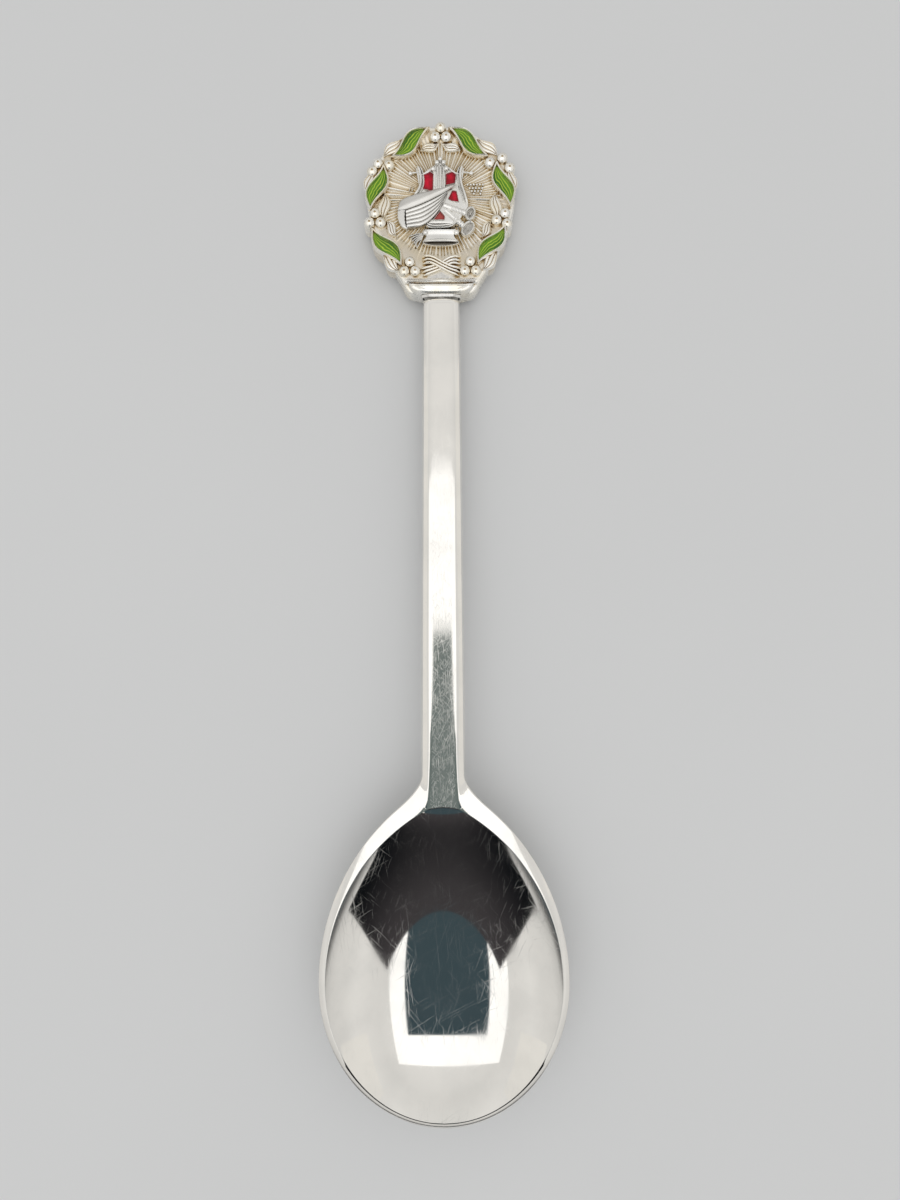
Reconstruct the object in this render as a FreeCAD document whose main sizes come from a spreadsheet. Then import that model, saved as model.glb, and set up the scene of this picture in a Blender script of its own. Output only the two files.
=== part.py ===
"""Souvenir spoon: forged bowl and stem, cast finial, solder joint and fired enamel.

The spoon lies on its back, with +Y from the bowl to the finial, +X to the right and +Z up.
The origin is on the table, below the middle of the spoon. Lengths are in millimetres.

The bowl is built level. The stem and the finial are built on one sloping plane, the flat
back of the finial, whose far edge rests on the table: "in the handle frame" means measured
from the centre of the medallion on that plane.
"""

import FreeCAD, Part
import math
import os
import Sketcher

SIZES = {
    # whole spoon
    "half_length": 67.3,
    "handle_pitch": 3.1,
    # bowl, seen from above
    "bowl_half_width": 16.5,
    "tip_length": 19.0,
    "shoulder_length": 24.9,
    "shoulder_radius": 30.7,
    # bowl, seen from the side
    "rim_height": 8.2,
    "bevel_width": 0.9,
    "bevel_drop": 0.45,
    "shoulder_crown": 0.3,
    "hollow_depth": 6.0,
    "hollow_shoulder_length": 22.6,
    "hollow_shoulder_radius": 26.3,
    "hollow_crown": 0.6,
    # stem
    "stem_thickness": 3.0,
    "facet_drop": 0.5,
    "stem_top": 13.6,
    "stem_top_half_width": 2.5,
    "stem_top_half_flat": 1.6,
    "tenon_length": 4.5,
    "tenon_width": 3.4,
    "tenon_thickness": 1.8,
    "solder_gap": 0.15,
    "bead_length": 0.35,
    "bead_width": 0.15,
    "bead_edge": 0.05,
    # medallion
    "plaque_radius": 10.1,
    "plaque_side_radius": 24.0,
    "plaque_foot": 12.9,
    "plaque_foot_half_width": 4.2,
    "plaque_thickness": 3.3,
    "finial_thickness": 3.6,
    "field_radius": 7.6,
    "field_height": 2.7,
    # wreath
    "leaf_length": 5.6,
    "leaf_half_width": 0.9,
    "leaf_border": 0.42,
    "leaf_border_tip": 0.9,
    "leaflet_length": 3.2,
    "leaflet_half_width": 0.7,
    "bract_length": 2.2,
    "bract_half_width": 0.5,
    "leaflet_height": 3.3,
    "berry_radius": 0.75,
    "berry_height": 2.85,
    "cluster_radius": 0.87,
    "top_cluster_y": 8.8,
    # enamel
    "enamel_thickness": 0.45,
    "leaf_enamel_height": 3.05,
    "window_enamel_height": 2.75,
    # capital
    "cushion_width": 8.6,
    "cushion_length": 1.3,
    "cushion_thickness": 3.9,
    "cushion_rounding": 0.55,
    "collar_width": 9.8,
    "collar_length": 0.6,
    "collar_gap": 0.2,
    # emblem
    "emblem_drop": 0.2,
    "emblem_root": 1.0,
    "plate_height": 3.15,
    "book_height": 3.6,
    "scroll_radius": 0.6,
    "scroll_height": 2.9,
}

# the neck, from the stem down into the bowl: distance from the medallion's centre, half
# width, half width of the top flat, drop of the upper facets, rise of the lower facets
NECK_STATIONS = (
    (76.4, 2.9, 1.7, 0.5, 0.85),
    (78.4, 3.15, 1.75, 0.5, 0.95),
    (80.1, 4.2, 1.9, 0.5, 1.5),
    (81.8, 5.25, 2.05, 0.45, 2.1),
)

# leaves of the wreath, by their middles in the handle frame and the angle of their length
LEAVES = (
    (-4.1, 7.45, 38.5),
    (3.75, 7.5, -37.0),
    (-8.65, 1.2, 74.0),
    (8.5, 1.6, 106.0),
    (-7.35, -7.05, -52.5),
    (6.85, -6.75, 55.0),
)
LEAFLETS = (
    (-6.5, 6.85, 45.0),
    (6.4, 6.9, -42.0),
    (-9.5, 2.1, 77.0),
    (9.45, 2.2, 98.0),
    (-7.7, -1.3, 87.0),
    (7.5, -1.3, 93.0),
    (-6.85, -9.0, -48.0),
    (6.7, -8.75, 52.0),
)
BRACTS = (
    (-1.55, 6.9, 22.0),
    (1.5, 6.9, -22.0),
    (-6.7, -4.4, -58.0),
    (6.15, -4.5, 59.0),
)
# berry clusters: middle and the direction of the first of three berries
CLUSTERS = (
    (0.0, "sizes.top_cluster_y", 90.0),
    (-8.95, -3.15, 90.0),
    (8.4, -3.15, 70.0),
    (-4.25, -9.9, 90.0),
    (3.95, -9.85, 90.0),
)
# berries strung round the tips of the two side leaves, three on each side
STRUNG_BERRIES = (
    (-7.04, 4.44),
    (-8.52, 4.67),
    (-9.31, 3.56),
    (6.71, 4.73),
    (8.37, 5.35),
    (9.37, 3.96),
)

# emblem: a lyre with four enamelled openings, an open book across it, two scrolls, a stand
LYRE_PLATE = (
    (-3.6, 4.6), (-2.6, 3.4), (-0.6, 4.8), (0.5, 4.8), (2.4, 3.4), (3.3, 4.6),
    (2.9, 1.5), (3.9, -1.2), (2.2, -3.7), (-2.4, -3.6), (-3.8, -0.5), (-2.9, 1.2),
)
BOOK = (
    (-5.9, -1.2), (-5.0, -0.1), (-1.9, 0.75), (2.1, 1.6),
    (-0.4, -1.6), (-2.3, -3.9), (-4.5, -4.6), (-5.6, -3.4),
)
STAND = (
    (-2.3, -4.4), (1.9, -4.4), (1.6, -5.1), (2.4, -6.2), (-2.6, -6.2), (-1.8, -5.1),
)
WINDOWS = (
    ((-2.45, 1.2), (-1.05, 0.9), (-1.0, 3.35), (-1.45, 3.7), (-2.35, 3.4)),
    ((0.65, 1.7), (1.95, 2.0), (2.1, 3.2), (1.65, 3.65), (0.7, 3.35)),
    ((1.0, -0.15), (1.55, 1.0), (2.15, 0.9), (2.45, -0.65), (1.4, -0.5)),
    ((-1.05, -3.1), (-0.1, -1.8), (0.55, -2.6), (0.5, -3.1)),
)
# scrolls: start, angle and length of each roll
SCROLLS = (
    (0.4, -1.0, -18.0, 3.9),
    (0.2, -1.6, -36.0, 4.3),
)

doc = FreeCAD.newDocument("souvenir_spoon")
X_AXIS = "create(<<vector>>; 1; 0; 0)"
Z_AXIS = "create(<<vector>>; 0; 0; 1)"


def make_sheet():
    """The driving dimensions, one named cell each."""
    sheet = doc.addObject("Spreadsheet::Sheet", "sizes")
    for row, (alias, value) in enumerate(SIZES.items(), start=1):
        sheet.set(f"A{row}", alias)
        sheet.set(f"B{row}", str(value))
        sheet.setAlias(f"B{row}", alias)
    doc.recompute()
    return sheet


def bind(item, **expressions):
    """Binds properties to expressions. Placement_Base_z stands for Placement.Base.z."""
    for path, expression in expressions.items():
        item.setExpression(path.replace("_", "."), str(expression))


def put(item, x=0, y=0, z=0, axis=Z_AXIS, angle=0):
    """Places an item in the level frame of the table."""
    turn = f"create(<<rotation>>; {axis}; {angle})"
    where = f"create(<<vector>>; {x}; {y}; {z})"
    item.setExpression("Placement", f"create(<<placement>>; {where}; {turn})")


def put_on_handle(item, x=0, y=0, z=0, axis=Z_AXIS, angle=0):
    """Places an item in the sloping handle frame."""
    turn = f"create(<<rotation>>; {axis}; {angle})"
    where = f"create(<<vector>>; {x}; {y}; {z})"
    local = f"create(<<placement>>; {where}; {turn})"
    item.setExpression("Placement", f"handle_back.Placement * {local}")


def make_handle_back():
    """The sloping plane of the finial's back, whose far edge rests on the table."""
    plane = doc.addObject("Part::Plane", "handle_back")
    reach = "(sizes.top_cluster_y + sizes.cluster_radius + sizes.berry_radius)"
    slope = "sizes.handle_pitch * 1deg"
    put(
        plane,
        y=f"sizes.half_length - {reach} * cos({slope}) - sizes.berry_height * sin({slope})",
        z=f"{reach} * sin({slope})",
        axis="create(<<vector>>; -1; 0; 0)",
        angle="sizes.handle_pitch",
    )
    return plane


def new_sketch(name):
    return doc.addObject("Sketcher::SketchObject", name)


def pin(sketch, curve, end, x, y):
    """Holds one end of a curve at a place given by two expressions."""
    drawn = sketch.getPoint(curve, end)
    for kind, start, value in (("DistanceX", drawn.x, x), ("DistanceY", drawn.y, y)):
        index = sketch.addConstraint(Sketcher.Constraint(kind, -1, 1, curve, end, start))
        sketch.setExpression(f"Constraints[{index}]", str(value))


def hold_radius(sketch, arc, radius):
    drawn = sketch.Geometry[arc].Radius
    index = sketch.addConstraint(Sketcher.Constraint("Radius", arc, drawn))
    sketch.setExpression(f"Constraints[{index}]", radius)


def polygon_sketch(name, corners):
    """A closed outline of straight lines through corners given by expressions or numbers."""
    sketch = new_sketch(name)
    count = len(corners)
    rough = [
        FreeCAD.Vector(math.cos(2 * math.pi * k / count), math.sin(2 * math.pi * k / count), 0)
        for k in range(count)
    ]
    for k in range(count):
        sketch.addGeometry(Part.LineSegment(rough[k], rough[(k + 1) % count]))
    for k in range(count):
        sketch.addConstraint(Sketcher.Constraint("Coincident", k, 2, (k + 1) % count, 1))
        pin(sketch, k, 1, *corners[k])
    return sketch


def lens_sketch(name, length, half_width):
    """A leaf outline: two equal arcs that meet in points at its ends."""
    sketch = new_sketch(name)
    left = FreeCAD.Vector(-2, 0, 0)
    right = FreeCAD.Vector(2, 0, 0)
    sketch.addGeometry(Part.Arc(left, FreeCAD.Vector(0, 0.6, 0), right))
    sketch.addGeometry(Part.Arc(right, FreeCAD.Vector(0, -0.6, 0), left))
    # the upper arc runs anticlockwise from its right end, the lower one from its left end
    sketch.addConstraint(Sketcher.Constraint("Coincident", 0, 2, 1, 1))
    sketch.addConstraint(Sketcher.Constraint("Coincident", 1, 2, 0, 1))
    pin(sketch, 0, 1, f"({length}) / 2", 0)
    pin(sketch, 0, 2, f"-({length}) / 2", 0)
    for arc in (0, 1):
        hold_radius(sketch, arc, f"(({length})^2 / 4 + ({half_width})^2) / (2 * ({half_width}))")
    return sketch


def prism(name, outline, height):
    """An outline raised by a height, in the outline's own frame."""
    solid = doc.addObject("Part::Extrusion", name)
    solid.Base = outline
    solid.DirMode = "Custom"
    solid.Dir = FreeCAD.Vector(0, 0, 1)
    solid.Solid = True
    bind(solid, LengthFwd=height)
    return solid


def block(name, width, length, thickness):
    """A box, centred by put_on_handle where it is used."""
    solid = doc.addObject("Part::Box", name)
    bind(solid, Length=width, Width=length, Height=thickness)
    return solid


def loft(name, sections, ruled):
    solid = doc.addObject("Part::Loft", name)
    solid.Sections = sections
    solid.Solid = True
    solid.Ruled = ruled
    return solid


def fuse(name, pieces):
    whole = doc.addObject("Part::MultiFuse", name)
    whole.Shapes = pieces
    return whole


def cut(name, base, tool):
    rest = doc.addObject("Part::Cut", name)
    rest.Base = base
    rest.Tool = tool
    return rest


def common(name, pieces):
    both = doc.addObject("Part::MultiCommon", name)
    both.Behavior = "CommonOfAllShapes"
    both.Shapes = pieces
    return both


# ---------------------------------------------------------------- bowl


def round_tip(name, half_width, length, depth, height):
    """The tip half of the bowl's form: a quarter of an ellipsoid, below a level plane."""
    quarter = doc.addObject("Part::Ellipsoid", name)
    bind(quarter, Radius1=depth, Radius2=half_width, Radius3=length)
    bind(quarter, Angle1=-90, Angle2=0, Angle3=180)
    put(quarter, y="sizes.tip_length - sizes.half_length", z=height, angle=180)
    return quarter


def round_shoulder(name, half_width, radius, length, crown, depth, height):
    """The shoulder half: an arc turned half round the spoon's axis, then flattened."""
    half_plan = new_sketch(f"{name}_plan")
    end_width = f"({half_width} - {radius} + sqrt({radius}^2 - ({length})^2))"
    rough = ((0, 0, 0), (15, 0, 0), (12, 12, 0), (4, 21, 0), (0, 22, 0))
    points = [FreeCAD.Vector(*place) for place in rough]
    half_plan.addGeometry(Part.LineSegment(points[0], points[1]))
    half_plan.addGeometry(Part.Arc(points[1], points[2], points[3]))
    half_plan.addGeometry(Part.LineSegment(points[3], points[4]))
    half_plan.addGeometry(Part.LineSegment(points[4], points[0]))
    for curve in range(4):
        half_plan.addConstraint(Sketcher.Constraint("Coincident", curve, 2, (curve + 1) % 4, 1))
    pin(half_plan, 0, 1, 0, 0)
    pin(half_plan, 0, 2, half_width, 0)
    pin(half_plan, 2, 1, end_width, length)
    pin(half_plan, 2, 2, 0, f"{length} + {crown}")
    hold_radius(half_plan, 1, radius)
    turned = doc.addObject("Part::Revolution", f"{name}_turned")
    turned.Source = half_plan
    turned.Axis = FreeCAD.Vector(0, 1, 0)
    turned.Angle = 180
    turned.Solid = True
    flattened = doc.addObject("Part::Scale", name)
    flattened.Base = turned
    flattened.Uniform = False
    bind(flattened, ZScale=f"{depth} / ({half_width})")
    put(flattened, y="sizes.tip_length - sizes.half_length", z=height)
    return flattened


def ring_loft(name, kind, low, high):
    """A slab between a low and a high outline, each given as sizes and a middle."""
    outlines = []
    for level, spec in (("low", low), ("high", high)):
        outline = doc.addObject(kind, f"{name}_{level}")
        bind(outline, **spec["sizes"])
        angle = 90 if kind == "Part::Ellipse" else 0
        put(outline, x=spec["x"], y="sizes.tip_length - sizes.half_length", z=spec["z"], angle=angle)
        outlines.append(outline)
    return loft(name, outlines, ruled=True)


def rim_bevel():
    """The slope from the hollow's edge down to the bowl's outside edge."""
    low = "sizes.rim_height - sizes.bevel_drop"
    high = "sizes.rim_height"
    inner_half_width = "(sizes.bowl_half_width - sizes.bevel_width)"
    tip_slab = ring_loft(
        "tip_bevel_whole",
        "Part::Ellipse",
        {"sizes": {"MajorRadius": "sizes.tip_length", "MinorRadius": "sizes.bowl_half_width"},
         "x": 0, "z": low},
        {"sizes": {"MajorRadius": "sizes.tip_length - sizes.bevel_width",
                   "MinorRadius": inner_half_width},
         "x": 0, "z": high},
    )
    whole_width = "4 * sizes.bowl_half_width"
    left_edge = "-2 * sizes.bowl_half_width"
    tip_side = block("tip_side", whole_width, "2 * sizes.tip_length", "sizes.rim_height")
    put(tip_side, x=left_edge, y="-sizes.tip_length - sizes.half_length", z=0)
    shoulder_side = block(
        "shoulder_side", whole_width, "sizes.shoulder_length", "sizes.rim_height"
    )
    put(shoulder_side, x=left_edge, y="sizes.tip_length - sizes.half_length", z=0)
    slabs = []
    for side, name in ((1, "right"), (-1, "left")):
        slabs.append(
            ring_loft(
                f"shoulder_bevel_{name}",
                "Part::Circle",
                {"sizes": {"Radius": "sizes.shoulder_radius"},
                 "x": f"{side} * (sizes.bowl_half_width - sizes.shoulder_radius)", "z": low},
                {"sizes": {"Radius": "sizes.hollow_shoulder_radius"},
                 "x": f"{side} * ({inner_half_width} - sizes.hollow_shoulder_radius)", "z": high},
            )
        )
    return [
        common("tip_bevel", [tip_slab, tip_side]),
        common("shoulder_bevel", [*slabs, shoulder_side]),
    ]


def bowl_form():
    """The bowl before it is hollowed: rounded underside and bevelled rim."""
    depth = "(sizes.rim_height - sizes.bevel_drop)"
    return [
        round_tip("tip_under", "sizes.bowl_half_width", "sizes.tip_length", depth, depth),
        round_shoulder(
            "shoulder_under", "sizes.bowl_half_width", "sizes.shoulder_radius",
            "sizes.shoulder_length", "sizes.shoulder_crown", depth, depth,
        ),
        *rim_bevel(),
    ]


def hollow():
    half_width = "(sizes.bowl_half_width - sizes.bevel_width)"
    return fuse(
        "hollow",
        [
            round_tip(
                "tip_hollow", half_width, "sizes.tip_length - sizes.bevel_width",
                "sizes.hollow_depth", "sizes.rim_height",
            ),
            round_shoulder(
                "shoulder_hollow", half_width, "sizes.hollow_shoulder_radius",
                "sizes.hollow_shoulder_length", "sizes.hollow_crown",
                "sizes.hollow_depth", "sizes.rim_height",
            ),
        ],
    )


# ---------------------------------------------------------------- stem


def facet_section(name, along, half_width, half_flat, upper_drop, lower_rise, grow="0"):
    """The eight-sided section of the stem, across the handle at a distance along it."""
    half_height = f"(sizes.stem_thickness / 2 + {grow})"
    wide = f"({half_width} + {grow})"
    upper = f"{half_height} - {upper_drop}"
    lower = f"-{half_height} + {lower_rise}"
    corners = (
        (half_flat, half_height),
        (f"-{half_flat}", half_height),
        (f"-{wide}", upper),
        (f"-{wide}", lower),
        (f"-{half_flat}", f"-{half_height}"),
        (half_flat, f"-{half_height}"),
        (wide, lower),
        (wide, upper),
    )
    section = polygon_sketch(name, corners)
    put_on_handle(section, y=f"-({along})", z="sizes.finial_thickness / 2", axis=X_AXIS, angle=90)
    return section


def stem_top_section(name, along, grow="0"):
    return facet_section(
        name, along, "sizes.stem_top_half_width", "sizes.stem_top_half_flat",
        "sizes.facet_drop", "sizes.facet_drop", grow,
    )


def stem_form():
    """Tapered stem, and the neck that spreads it into the bowl's shoulders."""
    sections = [
        facet_section(f"neck_section_{k}", *station)
        for k, station in enumerate(NECK_STATIONS, start=1)
    ]
    top = stem_top_section("stem_section", "sizes.stem_top + sizes.solder_gap")
    stem = loft("stem", [top, sections[0]], ruled=True)
    neck = loft("neck", sections, ruled=False)
    return [stem, neck]


def peg(name, start, length, gap):
    """A square peg across the joint: the stem's tenon, or with a gap the socket round it."""
    solid = block(name, f"sizes.tenon_width + 2 * {gap}", length, f"sizes.tenon_thickness + 2 * {gap}")
    put_on_handle(
        solid,
        x=f"-sizes.tenon_width / 2 - {gap}",
        y=start,
        z=f"(sizes.finial_thickness - sizes.tenon_thickness) / 2 - {gap}",
    )
    return solid


# ---------------------------------------------------------------- finial


def plaque_outline():
    """The medallion's outline: a round head that narrows to the capital."""
    sketch = new_sketch("plaque_outline")
    head_end = FreeCAD.Vector(9.7, -2.7, 0)
    foot_end = FreeCAD.Vector(4.2, -12.9, 0)
    side_middle = FreeCAD.Vector(7.8, -7.7, 0)
    flip = FreeCAD.Matrix(-1, 0, 0, 0, 0, 1, 0, 0, 0, 0, 1, 0, 0, 0, 0, 1)
    sketch.addGeometry(Part.Arc(head_end, FreeCAD.Vector(0, 10.1, 0), flip * head_end))
    sketch.addGeometry(Part.Arc(flip * head_end, flip * side_middle, flip * foot_end))
    sketch.addGeometry(Part.LineSegment(flip * foot_end, foot_end))
    sketch.addGeometry(Part.Arc(foot_end, side_middle, head_end))
    sketch.addConstraint(Sketcher.Constraint("Coincident", 0, 3, -1, 1))
    sketch.addConstraint(Sketcher.Constraint("Tangent", 0, 2, 1, 1))
    sketch.addConstraint(Sketcher.Constraint("Coincident", 1, 2, 2, 1))
    sketch.addConstraint(Sketcher.Constraint("Coincident", 2, 2, 3, 1))
    sketch.addConstraint(Sketcher.Constraint("Tangent", 3, 2, 0, 1))
    for arc, radius in ((0, "plaque_radius"), (1, "plaque_side_radius"), (3, "plaque_side_radius")):
        hold_radius(sketch, arc, f"sizes.{radius}")
    pin(sketch, 2, 1, "-sizes.plaque_foot_half_width", "-sizes.plaque_foot")
    pin(sketch, 2, 2, "sizes.plaque_foot_half_width", "-sizes.plaque_foot")
    return sketch


def plaque():
    """The medallion's body, with its field sunk below the wreath."""
    body = prism("plaque_body", plaque_outline(), "sizes.plaque_thickness")
    put_on_handle(body)
    field = doc.addObject("Part::Cylinder", "field")
    bind(field, Radius="sizes.field_radius", Height="sizes.plaque_thickness")
    put_on_handle(field, z="sizes.field_height")
    return cut("plaque", body, field)


def scatter(name, outline, places, height, low=0):
    """The same outline raised at each of several places, as one list of solids."""
    solids = []
    for k, (x, y, angle) in enumerate(places, start=1):
        solid = prism(f"{name}_{k}", outline, height)
        put_on_handle(solid, x=x, y=y, z=low, angle=angle)
        solids.append(solid)
    return solids


def berries():
    """Berries in close clusters of three, and the strung ones: a post and a dome each."""
    places = list(STRUNG_BERRIES)
    for x, y, first in CLUSTERS:
        for berry in range(3):
            turn = f"({first + 120 * berry} * 1deg)"
            places.append((
                f"{x} + sizes.cluster_radius * cos({turn})",
                f"{y} + sizes.cluster_radius * sin({turn})",
            ))
    solids = []
    for k, (x, y) in enumerate(places, start=1):
        post = doc.addObject("Part::Cylinder", f"berry_post_{k}")
        bind(post, Radius="sizes.berry_radius", Height="sizes.berry_height")
        put_on_handle(post, x=x, y=y)
        dome = doc.addObject("Part::Sphere", f"berry_dome_{k}")
        bind(dome, Radius="sizes.berry_radius")
        put_on_handle(dome, x=x, y=y, z="sizes.berry_height")
        solids += [post, dome]
    return solids


def wreath():
    border = lens_sketch(
        "leaf_border_outline",
        "sizes.leaf_length + 2 * sizes.leaf_border_tip",
        "sizes.leaf_half_width + sizes.leaf_border",
    )
    leaflet = lens_sketch("leaflet_outline", "sizes.leaflet_length", "sizes.leaflet_half_width")
    bract = lens_sketch("bract_outline", "sizes.bract_length", "sizes.bract_half_width")
    return [
        *scatter("leaf_border", border, LEAVES, "sizes.finial_thickness"),
        *scatter("leaflet", leaflet, LEAFLETS, "sizes.leaflet_height"),
        *scatter("bract", bract, BRACTS, "sizes.leaflet_height"),
        *berries(),
    ]


def emblem():
    """Lyre, book, scrolls and stand, raised from the field."""
    solids = []
    for name, outline, top in (
        ("lyre_plate", LYRE_PLATE, "sizes.plate_height"),
        ("book", BOOK, "sizes.book_height"),
        ("stand", STAND, "sizes.plate_height"),
    ):
        outline_sketch = polygon_sketch(f"{name}_outline", outline)
        solid = prism(name, outline_sketch, f"{top} - sizes.emblem_root")
        put_on_handle(solid, y="-sizes.emblem_drop", z="sizes.emblem_root")
        solids.append(solid)
    for k, (x, y, angle, length) in enumerate(SCROLLS, start=1):
        roll = doc.addObject("Part::Cylinder", f"scroll_{k}")
        bind(roll, Radius="sizes.scroll_radius", Height=length)
        lying = "create(<<rotation>>; create(<<vector>>; 0; 1; 0); 90)"
        along = f"create(<<rotation>>; {Z_AXIS}; {angle}) * {lying}"
        where = f"create(<<vector>>; {x}; {y} - sizes.emblem_drop; sizes.scroll_height)"
        local = f"create(<<placement>>; {where}; {along})"
        roll.setExpression("Placement", f"handle_back.Placement * {local}")
        solids.append(roll)
    return solids


def capital():
    """The cushion that the stem enters and the thin collar above it."""
    cushion = block(
        "cushion_block", "sizes.cushion_width", "sizes.cushion_length", "sizes.cushion_thickness"
    )
    low = "(sizes.finial_thickness - sizes.cushion_thickness) / 2"
    put_on_handle(cushion, x="-sizes.cushion_width / 2", y="-sizes.stem_top", z=low)
    doc.recompute()
    rounded = doc.addObject("Part::Fillet", "cushion")
    rounded.Base = cushion
    radius = SIZES["cushion_rounding"]
    rounded.Edges = [(edge, radius, radius) for edge in range(1, len(cushion.Shape.Edges) + 1)]
    collar = block("collar", "sizes.collar_width", "sizes.collar_length", "sizes.finial_thickness")
    put_on_handle(
        collar,
        x="-sizes.collar_width / 2",
        y="-sizes.stem_top + sizes.cushion_length + sizes.collar_gap",
    )
    return [rounded, collar]


# ---------------------------------------------------------------- the sub-parts


def make_leaf_enamels():
    """Green glass in the six leaf cells, a little below the metal borders."""
    outline = lens_sketch("leaf_outline", "sizes.leaf_length", "sizes.leaf_half_width")
    return scatter(
        "leaf_enamel", outline, LEAVES, "sizes.enamel_thickness", "sizes.leaf_enamel_height"
    )


def make_window_enamels():
    """Red glass in the four openings of the lyre."""
    solids = []
    for k, corners in enumerate(WINDOWS, start=1):
        outline = polygon_sketch(f"window_outline_{k}", corners)
        solid = prism(f"window_enamel_{k}", outline, "sizes.enamel_thickness")
        put_on_handle(solid, y="-sizes.emblem_drop", z="sizes.window_enamel_height")
        solids.append(solid)
    return solids


def cell_above(enamel, top):
    """Empty space over an enamel, so that nothing covers it."""
    space = prism(f"{enamel.Name}_space", enamel.Base, "sizes.finial_thickness")
    space.setExpression(
        "Placement",
        f"{enamel.Name}.Placement * create(<<placement>>; create(<<vector>>; 0; 0; {top}); "
        f"create(<<rotation>>; {Z_AXIS}; 0))",
    )
    return space


def make_spoon_blank(tenon):
    solid = fuse("blank_form", [*bowl_form(), *stem_form(), tenon])
    return cut("spoon_blank", solid, hollow())


def make_finial(enamels, socket):
    casting = fuse("casting", [plaque(), *wreath(), *emblem(), *capital()])
    spaces = [cell_above(enamel, "sizes.enamel_thickness") for enamel in enamels]
    return cut("finial", casting, fuse("cells", [*enamels, *spaces, socket]))


def make_solder_joint(tenon, socket):
    """The solder that fills the socket round the tenon, with a bead round the stem."""
    bead = loft(
        "bead_form",
        [
            stem_top_section("bead_low", "sizes.stem_top + sizes.bead_length", "sizes.bead_edge"),
            stem_top_section("bead_high", "sizes.stem_top", "sizes.bead_width"),
        ],
        ruled=True,
    )
    filler = fuse("solder_form", [socket, bead])
    metal = fuse("soldered_metal", [doc.getObject("stem"), tenon])
    return cut("solder_joint", filler, metal)


def check_document():
    """Stops if a feature failed or an object is unfinished."""
    doc.recompute()
    for item in doc.Objects:
        if "Invalid" in item.State or "Error" in item.State:
            raise RuntimeError(f"{item.Name} failed: {item.State}")


def write_nodes(nodes):
    os.makedirs("parts", exist_ok=True)
    for node in nodes:
        shape = node.Shape
        if shape.isNull() or not shape.isValid():
            raise RuntimeError(f"{node.Label} has no valid shape")
        if len(shape.Solids) != 1:
            raise RuntimeError(f"{node.Label} has {len(shape.Solids)} solids")
        shape.exportStep(f"parts/{node.Label}.step")
        box = shape.BoundBox
        print(
            f"{node.Label}: {shape.Volume:.2f} mm3, x {box.XMin:.2f} {box.XMax:.2f}, "
            f"y {box.YMin:.2f} {box.YMax:.2f}, z {box.ZMin:.3f} {box.ZMax:.2f}"
        )


def main():
    make_sheet()
    make_handle_back()
    whole_peg = "sizes.tenon_length + sizes.solder_gap"
    tenon = peg("tenon", "-sizes.stem_top - sizes.solder_gap", whole_peg, "0")
    socket = peg("socket", "-sizes.stem_top", whole_peg, "sizes.solder_gap")
    enamels = [*make_leaf_enamels(), *make_window_enamels()]
    nodes = [
        make_spoon_blank(tenon),
        make_finial(enamels, socket),
        make_solder_joint(tenon, socket),
        *enamels,
    ]
    check_document()
    write_nodes(nodes)


main()
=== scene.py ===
"""The souvenir spoon's looks: polished bowl and stem, relief finial and fired enamel.

Shapes are worked out in millimetres. The bowl and the stem are in the level frame: +Y from
the bowl to the finial, +Z up. The finial is in the handle frame, measured from the centre of
the medallion on the sloping plane of its back.
"""

import math

import bmesh
import bpy
import numpy as np
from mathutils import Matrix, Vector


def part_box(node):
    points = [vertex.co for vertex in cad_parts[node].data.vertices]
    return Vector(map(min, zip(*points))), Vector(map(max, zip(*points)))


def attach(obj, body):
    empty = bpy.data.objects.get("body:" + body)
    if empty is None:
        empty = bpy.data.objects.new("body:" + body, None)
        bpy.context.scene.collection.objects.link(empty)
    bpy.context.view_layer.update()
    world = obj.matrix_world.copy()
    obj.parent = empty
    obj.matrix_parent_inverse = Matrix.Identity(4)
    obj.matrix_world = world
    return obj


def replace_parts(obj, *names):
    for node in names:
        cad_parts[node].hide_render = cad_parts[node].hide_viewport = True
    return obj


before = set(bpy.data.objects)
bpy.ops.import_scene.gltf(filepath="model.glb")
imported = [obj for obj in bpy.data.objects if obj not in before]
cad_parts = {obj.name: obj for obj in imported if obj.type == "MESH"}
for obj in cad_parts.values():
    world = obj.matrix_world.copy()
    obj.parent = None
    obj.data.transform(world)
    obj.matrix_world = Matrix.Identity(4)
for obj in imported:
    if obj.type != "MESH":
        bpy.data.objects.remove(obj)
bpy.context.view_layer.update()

MM = 0.001
HALF_LENGTH = -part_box("spoon_blank")[0][1] / MM
BOWL_HALF_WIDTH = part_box("spoon_blank")[1][0] / MM

# bowl: its outline and heights are the CAD's
TIP_LENGTH = 19.0
WIDEST_Y = TIP_LENGTH - HALF_LENGTH
SHOULDER_RADIUS = 30.7
RIM_HEIGHT = 8.2
BEVEL_WIDTH = 0.9
BEVEL_DROP = 0.45
BEVEL_ROUNDING = 1.35
HOLLOW_DEPTH = 6.0
HOLLOW_RADIUS = 26.3
HOLLOW_HALF_WIDTH = BOWL_HALF_WIDTH - BEVEL_WIDTH
HOLLOW_CORNER = 22.95
HOLLOW_CROWN = 0.35
# how much steeper the hollow's walls are than its middle
HOLLOW_STEEPNESS = 0.35
# how fast the hollow falls from its upper edge
HOLLOW_LEDGE = 0.5
# how far above and below that edge the rows bend with it
ARC_REACH = 2.0

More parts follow.
